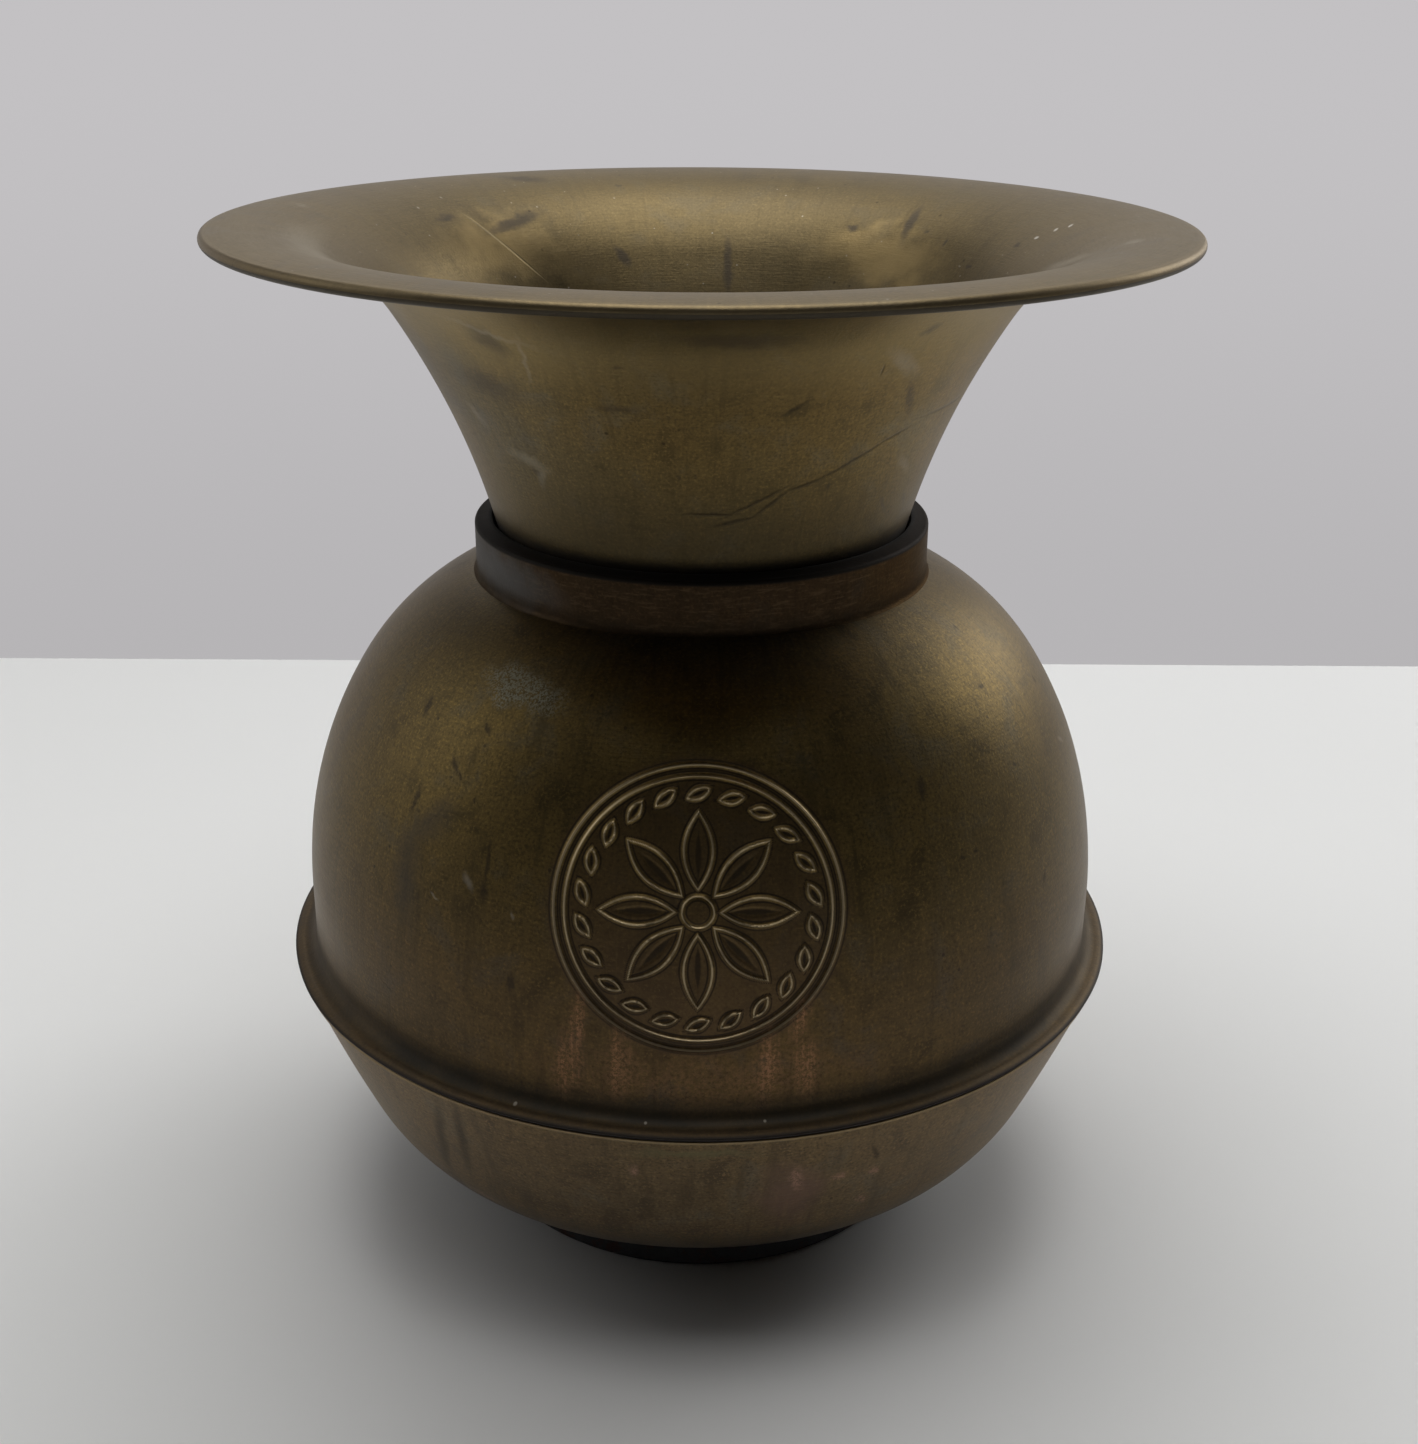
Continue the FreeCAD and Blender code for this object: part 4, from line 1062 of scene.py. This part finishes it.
def steel(name):
    s = Shader(name)
    grime = s.cloud(160.0, 5.0, 0.65)
    scuffs = s.cloud(1200.0, 3.0, 0.6)
    colour = s.blend(s.ramp(grime, 0.4, 0.65), (0.25, 0.23, 0.21), (0.09, 0.055, 0.035))
    return s.finish(colour, s.add(0.35, s.times(grime, 0.45)), 0.8,
                    s.bump(s.add(grime, s.times(scuffs, 0.4)), 0.0002))


def leather(name, tone):
    s = Shader(name)
    pores = s.node("ShaderNodeTexVoronoi")
    s.put(s.place, pores.inputs["Vector"])
    pores.inputs["Scale"].default_value = 1300.0
    wear = s.cloud(120.0, 4.0, 0.6)
    colour = s.blend(s.ramp(wear, 0.4, 0.7), tone, tuple(2.2 * channel for channel in tone))
    return s.finish(colour, s.add(0.6, s.times(wear, 0.25)), 0.0, s.bump(pores.outputs["Distance"], 0.0002))


# ---- pieces

BRASS_SLOT = "aged_brass"


def place(piece, body, nodes, slot, *materials):
    """Let a piece ride on a body in the place of CAD nodes, with its finish."""
    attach(piece, body)
    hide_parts(*nodes)
    for material in materials:
        piece.data.materials.append(material)


def paint(piece, inside):
    """Give the second material to the faces for which inside(centre, normal) holds."""
    for face in piece.data.polygons:
        face.material_index = int(inside(face.center, face.normal))


def faces_axis(centre, normal):
    return centre.x * normal.x + centre.y * normal.y < -0.3 * math.hypot(centre.x, centre.y)


def repaint(node, material):
    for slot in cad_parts[node].material_slots:
        slot.material = material


hidden = inner_walls()
funnel = turned("funnel_wall", funnel_outline(), 320, funnel_shift)
place(funnel, "funnel", ["funnel"], BRASS_SLOT, funnel_outside(), funnel_inside())
paint(funnel, lambda centre, normal: normal.z > 0.02 or faces_axis(centre, normal))
collar = turned("collar_ring", collar_outline(), shift=wall_shift(0.1, 2.0))
place(collar, "vessel", ["neck_collar"], BRASS_SLOT, collar_finish())
dome = dome_body("dome")
place(dome, "vessel", ["upper_body"], BRASS_SLOT, dome_outside(), hidden)
paint(dome, faces_axis)
bowl = turned("bowl", bowl_outline(), shift=wall_shift(0.25, 0.0))
place(bowl, "vessel", ["lower_bowl"], BRASS_SLOT, bowl_outside(), hidden)
paint(bowl, lambda centre, normal: faces_axis(centre, normal) or normal.z > 0.5 and centre.z < 0.07)
place(turned("cast_foot", foot_outline(), 480, foot_shift), "vessel", ["foot_weight"],
      "cast_iron", iron("foot_iron"))

hardware = steel("worn_steel")
wire = turned("wire_ring", arc(brim_arcs()[2], WIRE_RADIUS, 0, 336, turn_step=24), 192, funnel_shift)
place(wire, "funnel", ["rim_wire"], "steel", hardware)
for node in ("base_bolt", "head_washer", "nut_washer", "base_nut"):
    repaint(node, hardware)
repaint("seat_washer", leather("black_leather_finish", (0.012, 0.011, 0.010)))
repaint("seal_washer", leather("brown_leather_finish", (0.10, 0.055, 0.03)))

# ---- floor, light and camera

TABLE_BACK = 0.417
TABLE_REACH = 3.0


def floor_plane():
    mesh = bpy.data.meshes.new("floor")
    corners = [(-TABLE_REACH, -TABLE_REACH, 0), (TABLE_REACH, -TABLE_REACH, 0),
               (TABLE_REACH, TABLE_BACK, 0), (-TABLE_REACH, TABLE_BACK, 0)]
    mesh.from_pydata(corners, [], [(0, 1, 2, 3)])
    plane = bpy.data.objects.new("floor", mesh)
    bpy.context.scene.collection.objects.link(plane)
    s = Shader("pale_floor")
    haze = s.blend(s.ramp(s.cloud(2.0, 2.0), 0.3, 0.7), (0.79, 0.79, 0.78), (0.81, 0.81, 0.80))
    mesh.materials.append(s.finish(haze, 0.6, 0.0, s.bump(s.cloud(300.0), 0.00002)))


WALL = 0.4
FRONT = 0.25


def world_light():
    """A pale wall behind and a dimmer room in front, the same to the camera and in reflections."""
    world = bpy.data.worlds.new("world")
    bpy.context.scene.world = world
    world.use_nodes = True
    w = Nodes(world.node_tree)
    _, back, up = w.split(w.node("ShaderNodeTexCoord").outputs["Generated"])
    light, wall, mix = (w.node("ShaderNode" + kind) for kind in ("Background", "Background", "MixShader"))
    w.put(w.times(w.ramp(back, 0.0, 0.7, 0.0, WALL), w.ramp(up, 0.45, 0.85, 1.0, 0.1)),
          light.inputs["Strength"])
    near_horizon = w.times(w.ramp(up, -0.36, -0.04, 0.86, 1.0), w.ramp(up, 0.1, 0.7, 1.0, 0.15))
    w.put(w.times(near_horizon, w.ramp(back, -0.3, 0.7, FRONT, 1.0)), wall.inputs["Strength"])
    wall.inputs["Color"].default_value = (0.545, 0.532, 0.545, 1.0)
    path_kinds = w.node("ShaderNodeLightPath").outputs
    shown = 0.0
    for ray in ("Is Camera Ray", "Is Glossy Ray", "Is Transmission Ray"):
        shown = w.math("MAXIMUM", path_kinds[ray], shown)
    for value, socket in zip((shown, light.outputs[0], wall.outputs[0]), mix.inputs):
        w.put(value, socket)
    w.put(mix.outputs[0], w.node("ShaderNodeOutputWorld").inputs["Surface"])


def softbox(name, place, aim, width, height, power):
    light = bpy.data.lights.new(name, "AREA")
    light.shape = "RECTANGLE"
    light.size = width
    light.size_y = height
    light.energy = power
    lamp = bpy.data.objects.new(name, light)
    bpy.context.scene.collection.objects.link(lamp)
    lamp.location = place
    lamp.rotation_euler = (Vector(aim) - Vector(place)).to_track_quat("-Z", "Y").to_euler()


floor_plane()
world_light()
middle = (0.0, 0.0, 0.1)
softbox("overhead", (0.0, 0.0, 1.6), middle, 1.2, 1.2, 13.0)
softbox("overhead_back", (0.0, 0.6, 1.5), middle, 1.2, 0.8, 4.5)
softbox("high_wall", (0.0, 1.3, 1.1), middle, 1.6, 0.8, 3.2)
softbox("right_wall", (1.2, 0.9, 0.8), middle, 0.9, 0.9, 7.4)
softbox("left_side", (-1.4, 0.0, 0.7), middle, 0.8, 0.8, 1.6)
softbox("high_left", (-1.2, 0.2, 1.3), middle, 1.0, 1.0, 1.8)

PHOTO_HEIGHT = 1444
FOCAL_PIXELS = 1840
FILM_HEIGHT = 36.0
CAMERA_PLACE = (0.0023, -0.4899, 0.3425)
CAMERA_PITCH = 22.55
CAMERA_ROLL = 0.34

camera_data = bpy.data.cameras.new("camera")
camera_data.sensor_fit = "VERTICAL"
camera_data.sensor_height = FILM_HEIGHT
camera_data.lens = FOCAL_PIXELS / PHOTO_HEIGHT * FILM_HEIGHT
camera = bpy.data.objects.new("camera", camera_data)
bpy.context.scene.collection.objects.link(camera)
camera.matrix_world = (Matrix.Translation(CAMERA_PLACE)
                       @ Matrix.Rotation(math.radians(90 - CAMERA_PITCH), 4, "X")
                       @ Matrix.Rotation(math.radians(CAMERA_ROLL), 4, "Z"))
bpy.context.scene.camera = camera
bpy.context.scene.view_settings.view_transform = "Standard"
